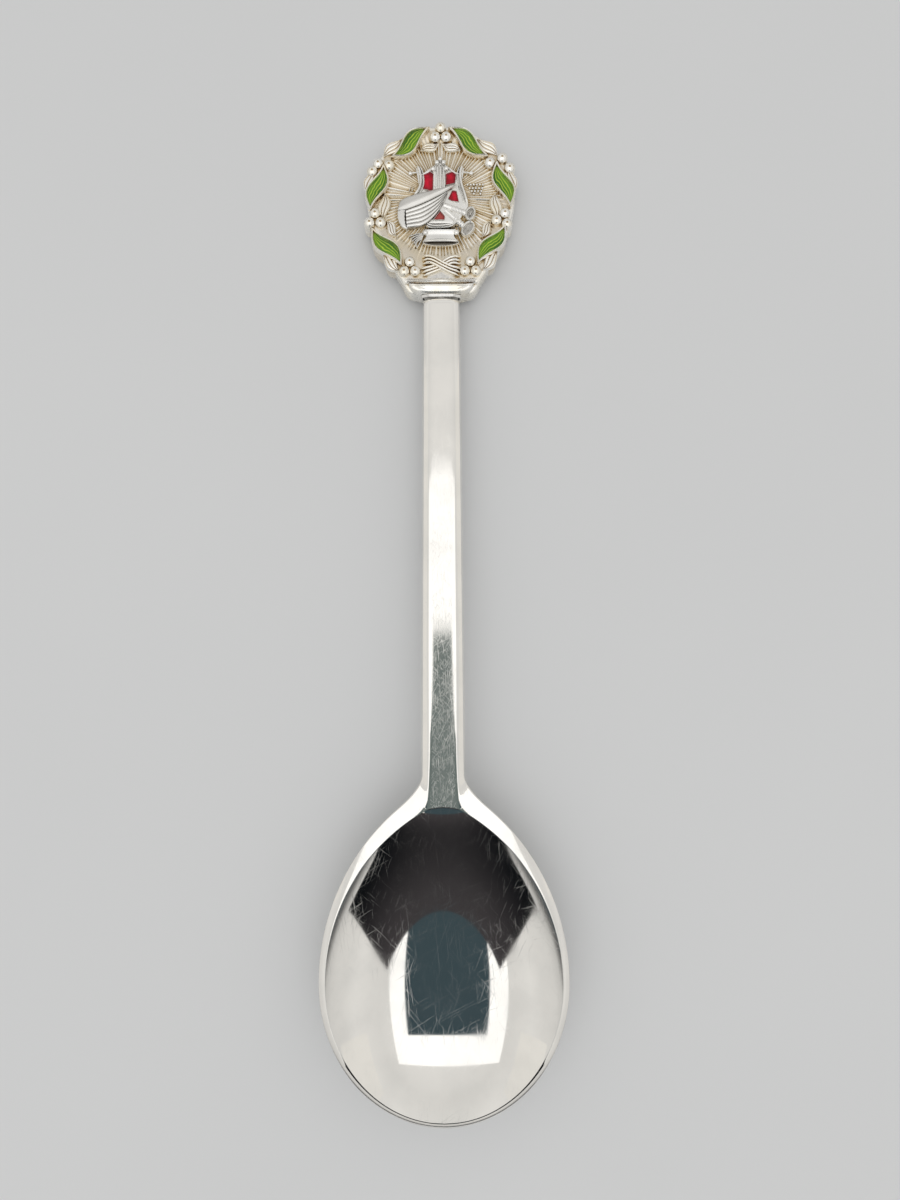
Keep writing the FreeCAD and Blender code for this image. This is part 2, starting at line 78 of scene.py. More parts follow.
# stem: its place and thickness are the CAD's
HANDLE_PITCH = math.radians(3.1)
MEDALLION_REACH = 10.42
BERRY_HEIGHT = 2.85
STEM_TOP_LEVEL = 3.3
STEM_BACK_LEVEL = 0.3
STEM_START = -13.75
STEM_HALF_WIDTH = 2.55
STEM_WIDENING = 0.38
FLAT_HALF_WIDTH = 1.6
FLAT_WIDENING = 0.1
FLAT_FLARE = 2.5
FLAT_CROWN = 0.1
FACET_DROP = 0.5
FLANK_DRAFT = 0.22
NECK_BLEND = 3.2
# places along the stem where the wear of its flat begins, and where it is full
WEAR_START = 26.0
WEAR_FULL = 4.0

HANDLE_Y = (
    HALF_LENGTH - MEDALLION_REACH * math.cos(HANDLE_PITCH) - BERRY_HEIGHT * math.sin(HANDLE_PITCH)
)
HANDLE_Z = MEDALLION_REACH * math.sin(HANDLE_PITCH)


def level(points):
    """Points of the handle frame, moved to the level frame."""
    x, y, z = points[..., 0], points[..., 1], points[..., 2]
    cos, sin = math.cos(HANDLE_PITCH), math.sin(HANDLE_PITCH)
    return np.stack([x, HANDLE_Y + y * cos + z * sin, HANDLE_Z - y * sin + z * cos], axis=-1)


def stem_height(y, above_back):
    """Height of the point at y in the level frame that is some way above the handle's back plane."""
    return HANDLE_Z + (above_back - (y - HANDLE_Y) * math.sin(HANDLE_PITCH)) / math.cos(HANDLE_PITCH)


def smoothstep(low, high, value):
    """Rises gently from 0 at low to 1 at high, which may be the smaller one."""
    t = np.clip((value - low) / (high - low), 0, 1)
    return t * t * (3 - 2 * t)


def smooth_min(a, b, blend):
    """The lower of two values, rounded over where they are within blend of each other."""
    h = np.clip(blend - np.abs(a - b), 0, None) / blend
    return np.minimum(a, b) - h * h * blend / 4


def smooth_max(a, b, blend):
    return -smooth_min(-a, -b, blend)


class Skin:
    """Gathers grids of points, in millimetres, into one mesh."""

    def __init__(self):
        self.points = []
        self.faces = []
        self.count = 0
        self.values = {}

    def add(self, grid, flip=False, **values):
        """Adds a grid of rows by columns. Extra values are kept for each of its points."""
        rows, columns = grid.shape[:2]
        ids = np.arange(rows * columns).reshape(rows, columns) + self.count
        quads = np.stack([ids[:-1, :-1], ids[:-1, 1:], ids[1:, 1:], ids[1:, :-1]], axis=-1)
        quads = quads.reshape(-1, 4)
        self.faces.append(quads[:, ::-1] if flip else quads)
        self.points.append(grid.reshape(-1, 3))
        for name in {**self.values, **values}:
            earlier = self.values.setdefault(name, [np.zeros(self.count)])
            filled = np.broadcast_to(values.get(name, 0.0), (rows, columns))
            earlier.append(filled.reshape(-1).astype(float))
        self.count += rows * columns

    def build(self, name, material, on_handle=True, sharp=None, fill=False):
        """The mesh object: points that lie together are joined, and crisp edges are marked."""
        points = np.concatenate(self.points)
        points = level(points) if on_handle else points
        mesh = bpy.data.meshes.new(name)
        mesh.from_pydata((points * MM).tolist(), [], np.concatenate(self.faces).tolist())
        for value_name, parts in self.values.items():
            layer = mesh.attributes.new(value_name, "FLOAT", "POINT")
            layer.data.foreach_set("value", np.concatenate(parts))
        work = bmesh.new()
        work.from_mesh(mesh)
        bmesh.ops.remove_doubles(work, verts=work.verts, dist=0.002 * MM)
        if fill:
            bmesh.ops.holes_fill(work, edges=[edge for edge in work.edges if edge.is_boundary])
        bmesh.ops.recalc_face_normals(work, faces=work.faces)
        work.to_mesh(mesh)
        work.free()
        mesh.shade_smooth()
        if sharp:
            mesh.set_sharp_from_angle(angle=math.radians(sharp))
        mesh.materials.append(material)
        piece = bpy.data.objects.new(name, mesh)
        bpy.context.scene.collection.objects.link(piece)
        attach(piece, "root")
        return piece


# ---------------------------------------------------------------- bowl and stem

STEM_ROWS = 60
NECK_ROWS = 45
SHOULDER_ROWS = 91
TIP_ROWS = 70
TOP_COLUMNS = 96
# columns across the bevel, close together beside its two edges
BEVEL_COLUMNS = (0, 0.03, 0.08, 0.2, 0.5, 0.8, 0.93, 1)
NECK_EDGE_STEP = 0.005
FAN_EDGE_STEP = 0.002
NECK_START = -15.0
STEM_TOP_Y = HANDLE_Y + STEM_START
CROWN_START = NECK_START + 12
OUTER_CORNER = 24.9
OUTER_TURN = math.asin(OUTER_CORNER / SHOULDER_RADIUS)
HOLLOW_TURN = math.asin(HOLLOW_CORNER / HOLLOW_RADIUS)
CORNER_HALF_WIDTH = HOLLOW_HALF_WIDTH - HOLLOW_RADIUS + HOLLOW_RADIUS * math.cos(HOLLOW_TURN)
# where the stem's edges and back begin to turn into the bowl's, and where they have turned
EDGE_TURNS = (-19, -31)
BACK_TURNS = (-18, -28)


def silhouette(y):
    """Half width of the whole spoon, seen from above, down to its widest place."""
    stem = STEM_HALF_WIDTH + STEM_WIDENING * (STEM_TOP_Y - y) / (STEM_TOP_Y - NECK_START)
    dy = np.clip(y - WIDEST_Y, 0, SHOULDER_RADIUS)
    shoulder = BOWL_HALF_WIDTH - SHOULDER_RADIUS + np.sqrt(SHOULDER_RADIUS**2 - dy**2)
    return smooth_max(stem, shoulder, NECK_BLEND)


def flat_half_width(y):
    """Half width of the stem's top flat."""
    upper = FLAT_HALF_WIDTH + FLAT_WIDENING * (STEM_TOP_Y - y) / (STEM_TOP_Y - NECK_START)
    near = np.clip((NECK_START - y) / (NECK_START - WIDEST_Y - HOLLOW_CORNER), 0, 1)
    return upper + (CORNER_HALF_WIDTH - upper) * near**FLAT_FLARE


def hollow_half_width(y):
    """Half width of the hollow at the rim."""
    dy = np.clip(y - WIDEST_Y, 0, HOLLOW_RADIUS)
    shoulder = HOLLOW_HALF_WIDTH - HOLLOW_RADIUS + np.sqrt(HOLLOW_RADIUS**2 - dy**2)
    reach = np.clip((WIDEST_Y - y) / (TIP_LENGTH - BEVEL_WIDTH), 0, 1)
    return np.where(y > WIDEST_Y, shoulder, HOLLOW_HALF_WIDTH * np.sqrt(1 - reach**2))


def hollow_top(x):
    """The line where the stem's flat ends and the hollow begins."""
    aside = np.clip(x / CORNER_HALF_WIDTH, -1, 1)
    return WIDEST_Y + HOLLOW_CORNER + HOLLOW_CROWN * (1 - aside**2)


def hollow_height(x, y):
    """The hollow's floor: a round dish, a little flatter in its middle than at its walls."""
    side = (hollow_half_width(y) ** 2 - x**2) / HOLLOW_HALF_WIDTH**2
    form = np.clip(np.minimum(side, HOLLOW_LEDGE * (hollow_top(x) - y)), 0, None)
    depth = form * (1 + HOLLOW_STEEPNESS) / (1 + HOLLOW_STEEPNESS * form)
    return RIM_HEIGHT - HOLLOW_DEPTH * depth


def top_height(y):
    """The stem's top flat runs down the handle and turns level at the bowl's rim."""
    return smooth_min(stem_height(y, STEM_TOP_LEVEL), RIM_HEIGHT, 0.1)


def outline_rows():
    """The crest beside the flat and the hollow, and the outer edge, row by row on one side."""
    stem_y = np.linspace(STEM_TOP_Y, NECK_START, STEM_ROWS, endpoint=False)
    crest_corner = WIDEST_Y + HOLLOW_CORNER
    outer_corner = WIDEST_Y + SHOULDER_RADIUS * math.sin(OUTER_TURN)
    # one row lies close beside the hollow's upper edge on each side of it, to keep it crisp
    down_neck = np.append(np.linspace(0, 1, NECK_ROWS - 1, endpoint=False), 1 - NECK_EDGE_STEP)
    crest_neck = NECK_START + (crest_corner - NECK_START) * down_neck
    outer_neck = NECK_START + (outer_corner - NECK_START) * down_neck
    fan = np.insert(np.linspace(1, 0, SHOULDER_ROWS - 1, endpoint=False), 1, 1 - FAN_EDGE_STEP)
    turn = np.linspace(0, math.pi / 2, TIP_ROWS)
    crest_y = np.concatenate([
        stem_y, crest_neck, WIDEST_Y + HOLLOW_RADIUS * np.sin(HOLLOW_TURN * fan),
        WIDEST_Y - (TIP_LENGTH - BEVEL_WIDTH) * np.sin(turn),
    ])
    outer_y = np.concatenate([
        stem_y, outer_neck, WIDEST_Y + SHOULDER_RADIUS * np.sin(OUTER_TURN * fan),
        WIDEST_Y - TIP_LENGTH * np.sin(turn),
    ])
    on_stem = np.arange(len(crest_y)) < STEM_ROWS + NECK_ROWS
    crest_x = np.where(on_stem, flat_half_width(crest_y), hollow_half_width(crest_y))
    tip_width = BOWL_HALF_WIDTH * np.sqrt(
        np.clip(1 - ((WIDEST_Y - outer_y) / TIP_LENGTH) ** 2, 0, None)
    )
    outer_x = np.where(outer_y > WIDEST_Y, silhouette(outer_y), tip_width)
    crest_x[-1] = outer_x[-1] = 0.0
    return crest_x, crest_y, outer_x, outer_y


def spoon_blank(material):
    """Bowl, neck and stem in one skin of rows that cross the spoon."""
    skin = Skin()
    crest_x, crest_y, outer_x, outer_y = outline_rows()
    first_hollow_row = STEM_ROWS + NECK_ROWS
    across = np.sin(np.linspace(-math.pi / 2, math.pi / 2, TOP_COLUMNS + 1))
    # top: the flat, then the hollow, whose first row follows the hollow's upper edge
    x = crest_x[:, None] * across
    y = np.repeat(crest_y[:, None], TOP_COLUMNS + 1, axis=1)
    bulge = HOLLOW_CROWN * (1 - across**2)
    index = np.arange(len(crest_x))
    near = np.clip(1 - np.abs(crest_y - WIDEST_Y - HOLLOW_CORNER) / ARC_REACH, 0, 1) ** 1.5
    y = y + near[:, None] * bulge
    hollow = (index >= first_hollow_row)[:, None]
    crown = FLAT_CROWN * smoothstep(WIDEST_Y + HOLLOW_CORNER, CROWN_START, y)
    z = np.where(hollow, hollow_height(x, y), top_height(y) - crown * across**4)
    z[first_hollow_row:, 0] = z[first_hollow_row:, -1] = RIM_HEIGHT
    z[first_hollow_row] = RIM_HEIGHT
    # the flat is worn along its middle, and less toward its crests
    worn = smoothstep(1.0, 0.7, np.abs(across)) * smoothstep(WEAR_START, WEAR_FULL, y)
    worn = np.where(hollow, 0.0, worn)
    skin.add(np.stack([x, y, z], axis=-1), flip=True, worn=worn)
    # the bevel's outer edge
    into_bowl = smoothstep(*EDGE_TURNS, outer_y)
    edge_x = outer_x - FLANK_DRAFT * (1 - into_bowl)
    edge_z = (1 - into_bowl) * stem_height(outer_y, STEM_TOP_LEVEL - FACET_DROP)
    edge_z = edge_z + into_bowl * (RIM_HEIGHT - BEVEL_DROP)
    crest_z = z[:, 0]
    share = np.array(BEVEL_COLUMNS)
    for side in (-1, 1):
        ribbon = np.stack([
            side * (crest_x[:, None] + (edge_x - crest_x)[:, None] * share),
            crest_y[:, None] + (outer_y - crest_y)[:, None] * share,
            crest_z[:, None] + (edge_z - crest_z)[:, None] * share**BEVEL_ROUNDING,
        ], axis=-1)
        skin.add(ribbon, flip=side > 0)
        under = under_half(edge_x, outer_x, outer_y, edge_z)
        under[..., 0] *= side
        skin.add(under, flip=side < 0)
    return skin.build("bowl_and_stem", material, on_handle=False, fill=True)


def under_half(edge_x, outer_x, outer_y, edge_z):
    """The flank, lower facet and back of one side, which turn into the bowl's round back."""
    middle_z = stem_height(outer_y, (STEM_TOP_LEVEL + STEM_BACK_LEVEL) / 2)
    back_z = stem_height(outer_y, STEM_BACK_LEVEL)
    facet_z = stem_height(outer_y, STEM_BACK_LEVEL + FACET_DROP)
    flat = np.minimum(flat_half_width(outer_y), outer_x)
    corners_x = np.stack([edge_x, outer_x, edge_x, flat, 0 * flat], axis=1)
    corners_z = np.stack([edge_z, middle_z, facet_z, back_z, back_z], axis=1)
    # share of the section's half turn given to each of its straight runs
    turns = np.array([0, 10, 20, 42.5, 90])
    # even columns, and one close on each side of every crest
    close = 0.4
    columns = np.sort(np.concatenate([
        np.arange(0, 90.1, 2.5), turns[1:4] - close, turns[1:4] + close, [close],
    ]))
    step = np.interp(columns, turns, np.arange(5))
    low = np.minimum(step.astype(int), 3)
    part = step - low
    straight_x = corners_x[:, low] * (1 - part) + corners_x[:, low + 1] * part
    straight_z = corners_z[:, low] * (1 - part) + corners_z[:, low + 1] * part
    turn = np.radians(columns)
    depth = (RIM_HEIGHT - BEVEL_DROP) * outer_x / BOWL_HALF_WIDTH
    round_x = edge_x[:, None] * np.cos(turn)
    round_z = edge_z[:, None] - depth[:, None] * np.sin(turn)
    blend = smoothstep(*BACK_TURNS, outer_y)[:, None]
    x = straight_x * (1 - blend) + round_x * blend
    z = straight_z * (1 - blend) + round_z * blend
    y = np.repeat(outer_y[:, None], len(columns), axis=1)
    return np.stack([x, y, z], axis=-1)


# ---------------------------------------------------------------- shapes of the finial


def curve(points, samples):
    """A smooth line through points, as evenly parted samples (Catmull-Rom)."""
    p = np.array(points, dtype=float)
    p = np.concatenate([[2 * p[0] - p[1]], p, [2 * p[-1] - p[-2]]])
    t = np.linspace(0, len(points) - 1, samples)
    k = np.minimum(t.astype(int), len(points) - 2)
    u = (t - k)[:, None]
    a, b, c, d = p[k], p[k + 1], p[k + 2], p[k + 3]
    return 0.5 * (2 * b + (c - a) * u + (2 * a - 5 * b + 4 * c - d) * u**2
                  + (3 * b - a - 3 * c + d) * u**3)


def placed(points, x, y, degrees):
    """Flat points, turned about the origin and moved."""
    angle = math.radians(degrees)
    cos, sin = math.cos(angle), math.sin(angle)
    return np.stack([
        x + points[..., 0] * cos - points[..., 1] * sin,
        y + points[..., 0] * sin + points[..., 1] * cos,
    ], axis=-1)


def closed(ring):
    """A ring of points with its first point again at its end."""
    return np.concatenate([ring, ring[:1]])


def lens(u, v, length, half_width, bend):
    """Places in a pointed leaf: u from -1 to 1 along it, v from -1 to 1 across it."""
    width = half_width * np.clip(np.cos(u * math.pi / 2), 0, None) ** LEAF_POINTEDNESS
    return np.stack([u * length / 2, bend * np.sin(u * math.pi) + v * width], axis=-1)


def raised(flat, z):
    """Flat points, lifted to one height or to a height each."""
    return np.concatenate([flat, np.broadcast_to(z, flat.shape[:-1])[..., None]], axis=-1)


def ridge(skin, path, width, low, high, ends=True, columns=8):
    """A rounded ridge along a path, which narrows to nothing at its ends unless it is closed."""
    path = np.asarray(path, dtype=float)
    count = len(path)
    along = np.gradient(path, axis=0)
    if not ends:
        along[0] = along[-1] = path[1] - path[-2]
    along /= np.linalg.norm(along, axis=1)[:, None] + 1e-12
    aside = np.stack([-along[:, 1], along[:, 0]], axis=1)
    taper = np.ones(count)
    if ends:
        # the first and the last eighth narrow
        t = np.linspace(0, 1, count)
        taper = np.clip(np.minimum(t, 1 - t) * 8, 0, 1) ** 0.5
    turn = np.linspace(0, math.pi, columns + 1)
    wide = np.broadcast_to(width, (count,)) / 2 * taper
    flat = path[:, None, :] + aside[:, None, :] * (wide[:, None] * np.cos(turn))[..., None]
    tall = (np.broadcast_to(high, (count,)) - low) * taper
    z = low + tall[:, None] * np.sin(turn) ** 0.8
    skin.add(raised(flat, z))


def pad(skin, outline, low, high, rounding=0.12, rings=10, shape=None, **values):
    """A solid with straight sides, a rounded edge and a top that a function may shape."""
    outline = np.asarray(outline, dtype=float)
    middle = outline.mean(axis=0)
    along = np.roll(outline, -1, axis=0) - np.roll(outline, 1, axis=0)
    along /= np.linalg.norm(along, axis=1)[:, None]
    inward = np.stack([-along[:, 1], along[:, 0]], axis=1)
    if np.sum(inward * (middle - outline)) < 0:
        inward = -inward
    outline, inward = closed(outline), closed(inward)
    rows = [raised(0 * outline + middle, low), raised(outline, low)]
    for turn in np.linspace(0, math.pi / 2, 4):
        inset = outline + inward * rounding * (1 - math.cos(turn))
        rows.append(raised(inset, high - rounding * (1 - math.sin(turn))))
    for share in np.linspace(1, 0, rings + 1)[1:]:
        flat = middle + (inset - middle) * share
        lift = shape(flat[:, 0], flat[:, 1]) if shape else 0
        rows.append(raised(flat, high + lift))
    skin.add(np.stack(rows), **values)


def bead(skin, x, y, radius, low, high, dimple=0.0):
    """A round bead with a domed top, and a dimple in the middle if it has one."""
    turn = np.linspace(0, 2 * math.pi, 29)
    rise = np.linspace(0, math.pi / 2, 10)
    rows = [(radius, low)]
    for angle in rise:
        rows.append((radius * math.cos(angle), high - radius * 0.8 * (1 - math.sin(angle))))
    if dimple:
        hollow = radius * 0.2
        rows = [row for row in rows if row[0] > hollow * 1.3]
        rows += [(hollow, high), (hollow * 0.8, high - dimple * 0.7), (0.0, high - dimple)]
    grid = []
    dark = []
    for ring_radius, z in rows:
        # painted shade in the middle of the dimple
        dark.append(0.5 if dimple and ring_radius < radius * 0.18 else 0.0)
        flat = np.stack([x + ring_radius * np.cos(turn), y + ring_radius * np.sin(turn)], axis=1)
        grid.append(raised(flat, z))
    skin.add(np.stack(grid), recess=np.array(dark)[:, None])


def lined_strip(skin, left, right, low, high, lines, relief, line_columns=6, crown=0.0, shade=0.0):
    """A band between two edges with raised lines along it, and sides down to its foot."""
    count = len(left)
    v = np.linspace(0, 1, lines * line_columns + 1)
    flat = left[:, None, :] * (1 - v)[:, None] + right[:, None, :] * v[:, None]
    wave = np.abs(np.sin(v * math.pi * lines)) ** 0.6
    z = np.broadcast_to(high, (count,))[:, None] + relief * wave - relief
    z = z + crown * np.sin(v * math.pi)
    grid = raised(flat, z)
    # the grooves between lines and the two sides get painted shade and tarnish, and shade adds more of
    # it over the whole strip
    dark = np.concatenate([[0.1], 0.75 * (1 - wave) ** 2 * (lines > 1), [0.1]])
    foot = np.broadcast_to(low, (count,))[:, None]
    grid = np.concatenate([raised(flat[:, :1], foot), grid, raised(flat[:, -1:], foot)], axis=1)
    skin.add(grid, recess=dark + shade)


def line_ridge(skin, points, samples, width, low, high):
    """A ridge along a smooth line through points."""
    ridge(skin, curve(points, samples), width, low, high)


# ---------------------------------------------------------------- finial

PLAQUE_RADIUS = 10.1
# the outline's right side, from the round head down to the middle of the foot
PLAQUE_SHOULDER = (
    (9.1, -5.0), (7.85, -7.7), (6.6, -9.7), (5.45, -11.5), (4.85, -12.7), (4.2, -13.25),
    (3.2, -13.4), (0, -13.4),
)
FINIAL_THICKNESS = 3.6
FIELD_RADIUS = 7.9
FIELD_LEVEL = 2.62
WREATH_LEVEL = 2.95
# where most of the relief begins, a little inside the plaque
RELIEF_FOOT = 2.6
RAY_COUNT = 108

LEAF_POINTEDNESS = 1.25
LEAF_LENGTH = 5.9
LEAF_HALF_WIDTH = 0.88
LEAF_BEND = 0.36
LEAF_BORDER = 0.4
LEAF_GLASS_LEVEL = 3.22
BERRY_RADIUS = 0.76
CLUSTER_RADIUS = 0.87

# middle and direction of each leaf, and which way its tips turn
LEAVES = (
    (-4.1, 7.45, 38.5, 1), (3.75, 7.5, -37.0, -1), (-8.65, 1.2, 74.0, -1),
    (8.5, 1.6, 106.0, 1), (-7.35, -7.05, -52.5, 1), (6.85, -6.75, 55.0, -1),
)
# middle and direction of the small leaves at the rim, and of those inside the wreath
LEAFLETS = (
    (-6.5, 6.85, 45.0), (6.4, 6.9, -42.0), (-9.55, 2.2, 77.0), (9.5, 2.3, 98.0),
    (-7.7, -1.3, 87.0), (7.5, -1.3, 93.0), (-6.85, -9.0, -48.0), (6.7, -8.75, 52.0),
)
BRACTS = ((-1.55, 6.9, 22.0), (1.5, 6.9, -22.0), (-6.7, -4.4, -58.0), (6.15, -4.5, 59.0))
# middle of each group of three berries, and the direction of the group's first
CLUSTERS = (
    (0.0, 8.8, 90.0), (-8.95, -3.15, 90.0), (8.4, -3.15, 70.0), (-4.25, -9.9, 90.0),
    (3.95, -9.85, 90.0),
)
# berries strung round the tips of the two side leaves
STRUNG_BERRIES = (
    (-7.04, 4.44), (-8.52, 4.67), (-9.31, 3.56), (6.71, 4.73), (8.37, 5.35), (9.37, 3.96),
)


def plaque_radius(turn):
    """Distance from the medallion's centre to its outline, in a direction."""
    head = [(PLAQUE_RADIUS * math.sin(a), PLAQUE_RADIUS * math.cos(a)) for a in np.linspace(0, 1.8, 12)]
    right = curve([*head, *PLAQUE_SHOULDER], 400)
    angle = np.abs(np.arctan2(right[:, 0], right[:, 1]))
    return np.interp(np.abs((turn - math.pi / 2 + math.pi) % (2 * math.pi) - math.pi),
                     angle, np.linalg.norm(right, axis=1))


def ray_profile(turn, radius, dice):
    """Irregular reeds that fan out from the medallion's middle."""
    edges = np.arange(RAY_COUNT) + dice.uniform(-0.28, 0.28, RAY_COUNT)
    edges = np.sort(edges) / RAY_COUNT * 2 * math.pi
    position = (turn - edges[0]) % (2 * math.pi) + edges[0]
    low = np.searchsorted(edges, position, side="right") - 1
    start = edges[low]
    stop = np.append(edges, edges[0] + 2 * math.pi)[low + 1]
    part = (position - start) / (stop - start)
    heights = dice.uniform(0.7, 1.15, RAY_COUNT)[low]
    reed = np.clip(np.sin(part * math.pi), 0, 1) ** 2.2 * heights
    return reed[None, :] * (0.04 + 0.022 * np.clip(radius, 0, 8))[:, None]


def plaque(material):
    """The medallion's body: reeded field, plain rim, straight sides and flat back."""
    skin = Skin()
    dice = np.random.default_rng(5)
    turn = np.linspace(0, 2 * math.pi, 1081)
    direction = np.stack([np.cos(turn), np.sin(turn)], axis=1)
    radii = np.concatenate([[0.02], np.linspace(0.6, FIELD_RADIUS, 34)])
    # the field's edge is not quite round
    waver = 0.12 * np.sin(turn * 23) + 0.08 * np.sin(turn * 41 + 1)
    z = FIELD_LEVEL + ray_profile(turn, radii, dice)
    rows = []
    for k, radius in enumerate(radii):
        reach = radius + waver * (radius / FIELD_RADIUS) ** 6
        rows.append(raised(direction * reach[:, None], z[k]))
    # painted shade and tarnish in the valleys between the reeds, and a little over the whole field
    valley = np.clip(1 - (z - FIELD_LEVEL) / 0.12, 0, 1) * 0.5 + 0.12
    outline = plaque_radius(turn)[:, None] * direction
    inner = np.minimum(plaque_radius(turn) - 0.5, 9.4)[:, None] * direction
    rim = WREATH_LEVEL - 0.15
    rows.append(raised(direction * (FIELD_RADIUS + 0.1 + waver[:, None]), rim))
    rows.append(raised(inner, rim + 0.05))
    # rounded upper edge, straight side, rounded lower edge and the middle of the back
    shrink = 1 - np.array([0.55, 0.3, 0.12, 0.02, 0]) / PLAQUE_RADIUS
    drops = np.array([0.0, 0.04, 0.16, 0.36, 0.6])
    for scale, drop in zip(shrink, drops):
        rows.append(raised(outline * scale, rim + 0.05 - drop))
    rows.append(raised(outline, 0.4))
    rows.append(raised(outline * 0.995, 0.12))
    rows.append(raised(outline * 0.98, 0.0))
    rows.append(raised(outline * 0.0, 0.0))
    recess = np.zeros((len(rows), len(turn)))
    recess[: len(radii)] = valley
    # painted shade on the plain ring round the field
    recess[len(radii): len(radii) + 2] = 0.45
    skin.add(np.stack(rows), recess=recess)
    return skin.build("medallion", material, sharp=70.0)


def leaf_outline(length, half_width, bend):
    """A pointed leaf's closed outline."""
    t = np.linspace(-1, 1, 49)
    there = lens(t, -1, length, half_width, bend)
    back = lens(-t, 1, length, half_width, bend)
    return np.concatenate([there, back[1:]])


def wreath(material):
    """Leaf borders, small veined leaves, berries and the crossed ribbon."""
    skin = Skin()
    for x, y, degrees, turned in LEAVES:
        bend = turned * LEAF_BEND
        border = placed(leaf_outline(LEAF_LENGTH + 0.5, LEAF_HALF_WIDTH + 0.2, bend), x, y, degrees)
        ridge(skin, border, LEAF_BORDER, RELIEF_FOOT, FINIAL_THICKNESS + 0.12, ends=False, columns=10)
        bed = placed(leaf_outline(LEAF_LENGTH + 1.0, LEAF_HALF_WIDTH + 0.42, bend), x, y, degrees)
        # painted shade on the bed round each leaf, so that its border stands out
        pad(skin, bed[:-1], 0.25, 3.0, rounding=0.3, recess=0.34)
    for places, length, half_width in ((LEAFLETS, 3.5, 0.8), (BRACTS, 2.5, 0.6)):
        for k, (x, y, degrees) in enumerate(places):
            leaflet(skin, x, y, degrees, length, half_width, 0.16 if k % 2 else -0.16)
    berries = list(STRUNG_BERRIES)
    for x, y, first in CLUSTERS:
        for angle in np.radians([first, first + 120, first + 240]):
            berries.append((x + CLUSTER_RADIUS * math.cos(angle), y + CLUSTER_RADIUS * math.sin(angle)))
    for x, y in berries:
        bead(skin, x, y, BERRY_RADIUS, 0.3, FINIAL_THICKNESS, dimple=0.16)
    ribbon(skin)
    return skin.build("wreath", material, sharp=60.0)


def leaflet(skin, x, y, degrees, length, half_width, bend):
    """A small arched leaf with three raised lines and a border."""
    t = np.linspace(-1, 1, 49)
    left = placed(lens(t, 1, length, half_width, bend), x, y, degrees)
    right = placed(lens(t, -1, length, half_width, bend), x, y, degrees)
    arch = 0.14 * np.cos(t * math.pi / 2)
    lined_strip(skin, left, right, 0.4, 2.98 + arch, 3, 0.14, crown=0.05)
    edge = closed(np.concatenate([left, right[::-1]]))
    ridge(skin, edge, 0.22, RELIEF_FOOT, 3.17, ends=False, columns=6)


def ribbon(skin):
    """Two bands of strands that cross below the field."""
    for lift, start, middle, stop in (
        (0.0, (2.75, -8.85), (0.0, -9.65), (-2.7, -10.55)),
        (0.2, (-2.6, -8.85), (0.1, -9.6), (2.7, -10.6)),
    ):
        path = curve((start, (start[0] * 0.5, start[1] - 0.02), middle,
                      (stop[0] * 0.5, stop[1] + 0.4), stop), 49)
        along = np.gradient(path, axis=0)
        along /= np.linalg.norm(along, axis=1)[:, None]
        aside = np.stack([-along[:, 1], along[:, 0]], axis=1)
        fan = 0.8 + 0.35 * np.abs(np.linspace(-1, 1, 49))[:, None] ** 2
        for strand in (-0.46, 0.0, 0.46):
            ridge(skin, path + aside * strand * fan, 0.46, 2.8, 3.42 + lift)


def cushion_crown(x, y):
    """The cushion's top rolls down toward the stem."""
    return -0.25 * smoothstep(-12.5, -13.7, y) - 0.004 * x**2


def capital(material):
    """The thin collar and the rounded cushion that the stem enters."""
    skin = Skin()
    lower = curve(((-4.35, -12.55), (-3.9, -13.05), (-2.6, -13.52), (0, -13.6), (2.6, -13.52),
                   (3.9, -13.05), (4.35, -12.55)), 61)
    upper = np.stack([np.linspace(4.4, -4.4, 31), np.full(31, -12.12)], axis=1)
    pad(skin, np.concatenate([lower, upper]), 0.0, 3.74, rounding=0.5, rings=6, shape=cushion_crown)
    collar = np.array([(-4.9, -12.1), (4.9, -12.1), (4.75, -11.5), (-4.75, -11.5)])
    share = np.linspace(0, 1, 24, endpoint=False)[:, None]
    outline = np.concatenate([
        collar[k] * (1 - share) + collar[(k + 1) % 4] * share for k in range(4)
    ])
    pad(skin, outline, 0.0, FINIAL_THICKNESS + 0.05, rounding=0.26, rings=4)
    return skin.build("capital", material, sharp=50.0)


def leaf_enamels(material):
    """Six leaves of green glass, slightly domed, with lengthwise veins."""
    t = np.linspace(-1, 1, 61)
    v = np.linspace(-1, 1, 41)
    for k, (x, y, degrees, turned) in enumerate(LEAVES, start=1):
        skin = Skin()
        grid_u, grid_v = np.meshgrid(t, v, indexing="ij")
        flat = lens(grid_u, grid_v, LEAF_LENGTH + 0.3, LEAF_HALF_WIDTH + 0.12, turned * LEAF_BEND)
        flat = placed(flat, x, y, degrees)
        dome = 0.1 * (1 - grid_v**4) * (1 - grid_u**6)
        skin.add(raised(flat, LEAF_GLASS_LEVEL + dome), across=grid_v * turned)
        piece = skin.build(f"leaf_glass_{k}", material, sharp=40.0, fill=True)
        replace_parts(piece, f"leaf_enamel_{k}")


# ---------------------------------------------------------------- emblem

PLATE_LEVEL = 3.05
EMBLEM_FOOT = 2.5
WINDOW_GLASS_LEVEL = 3.07
EMBLEM_PLACE = np.array([0.0, -0.2, 0.0])
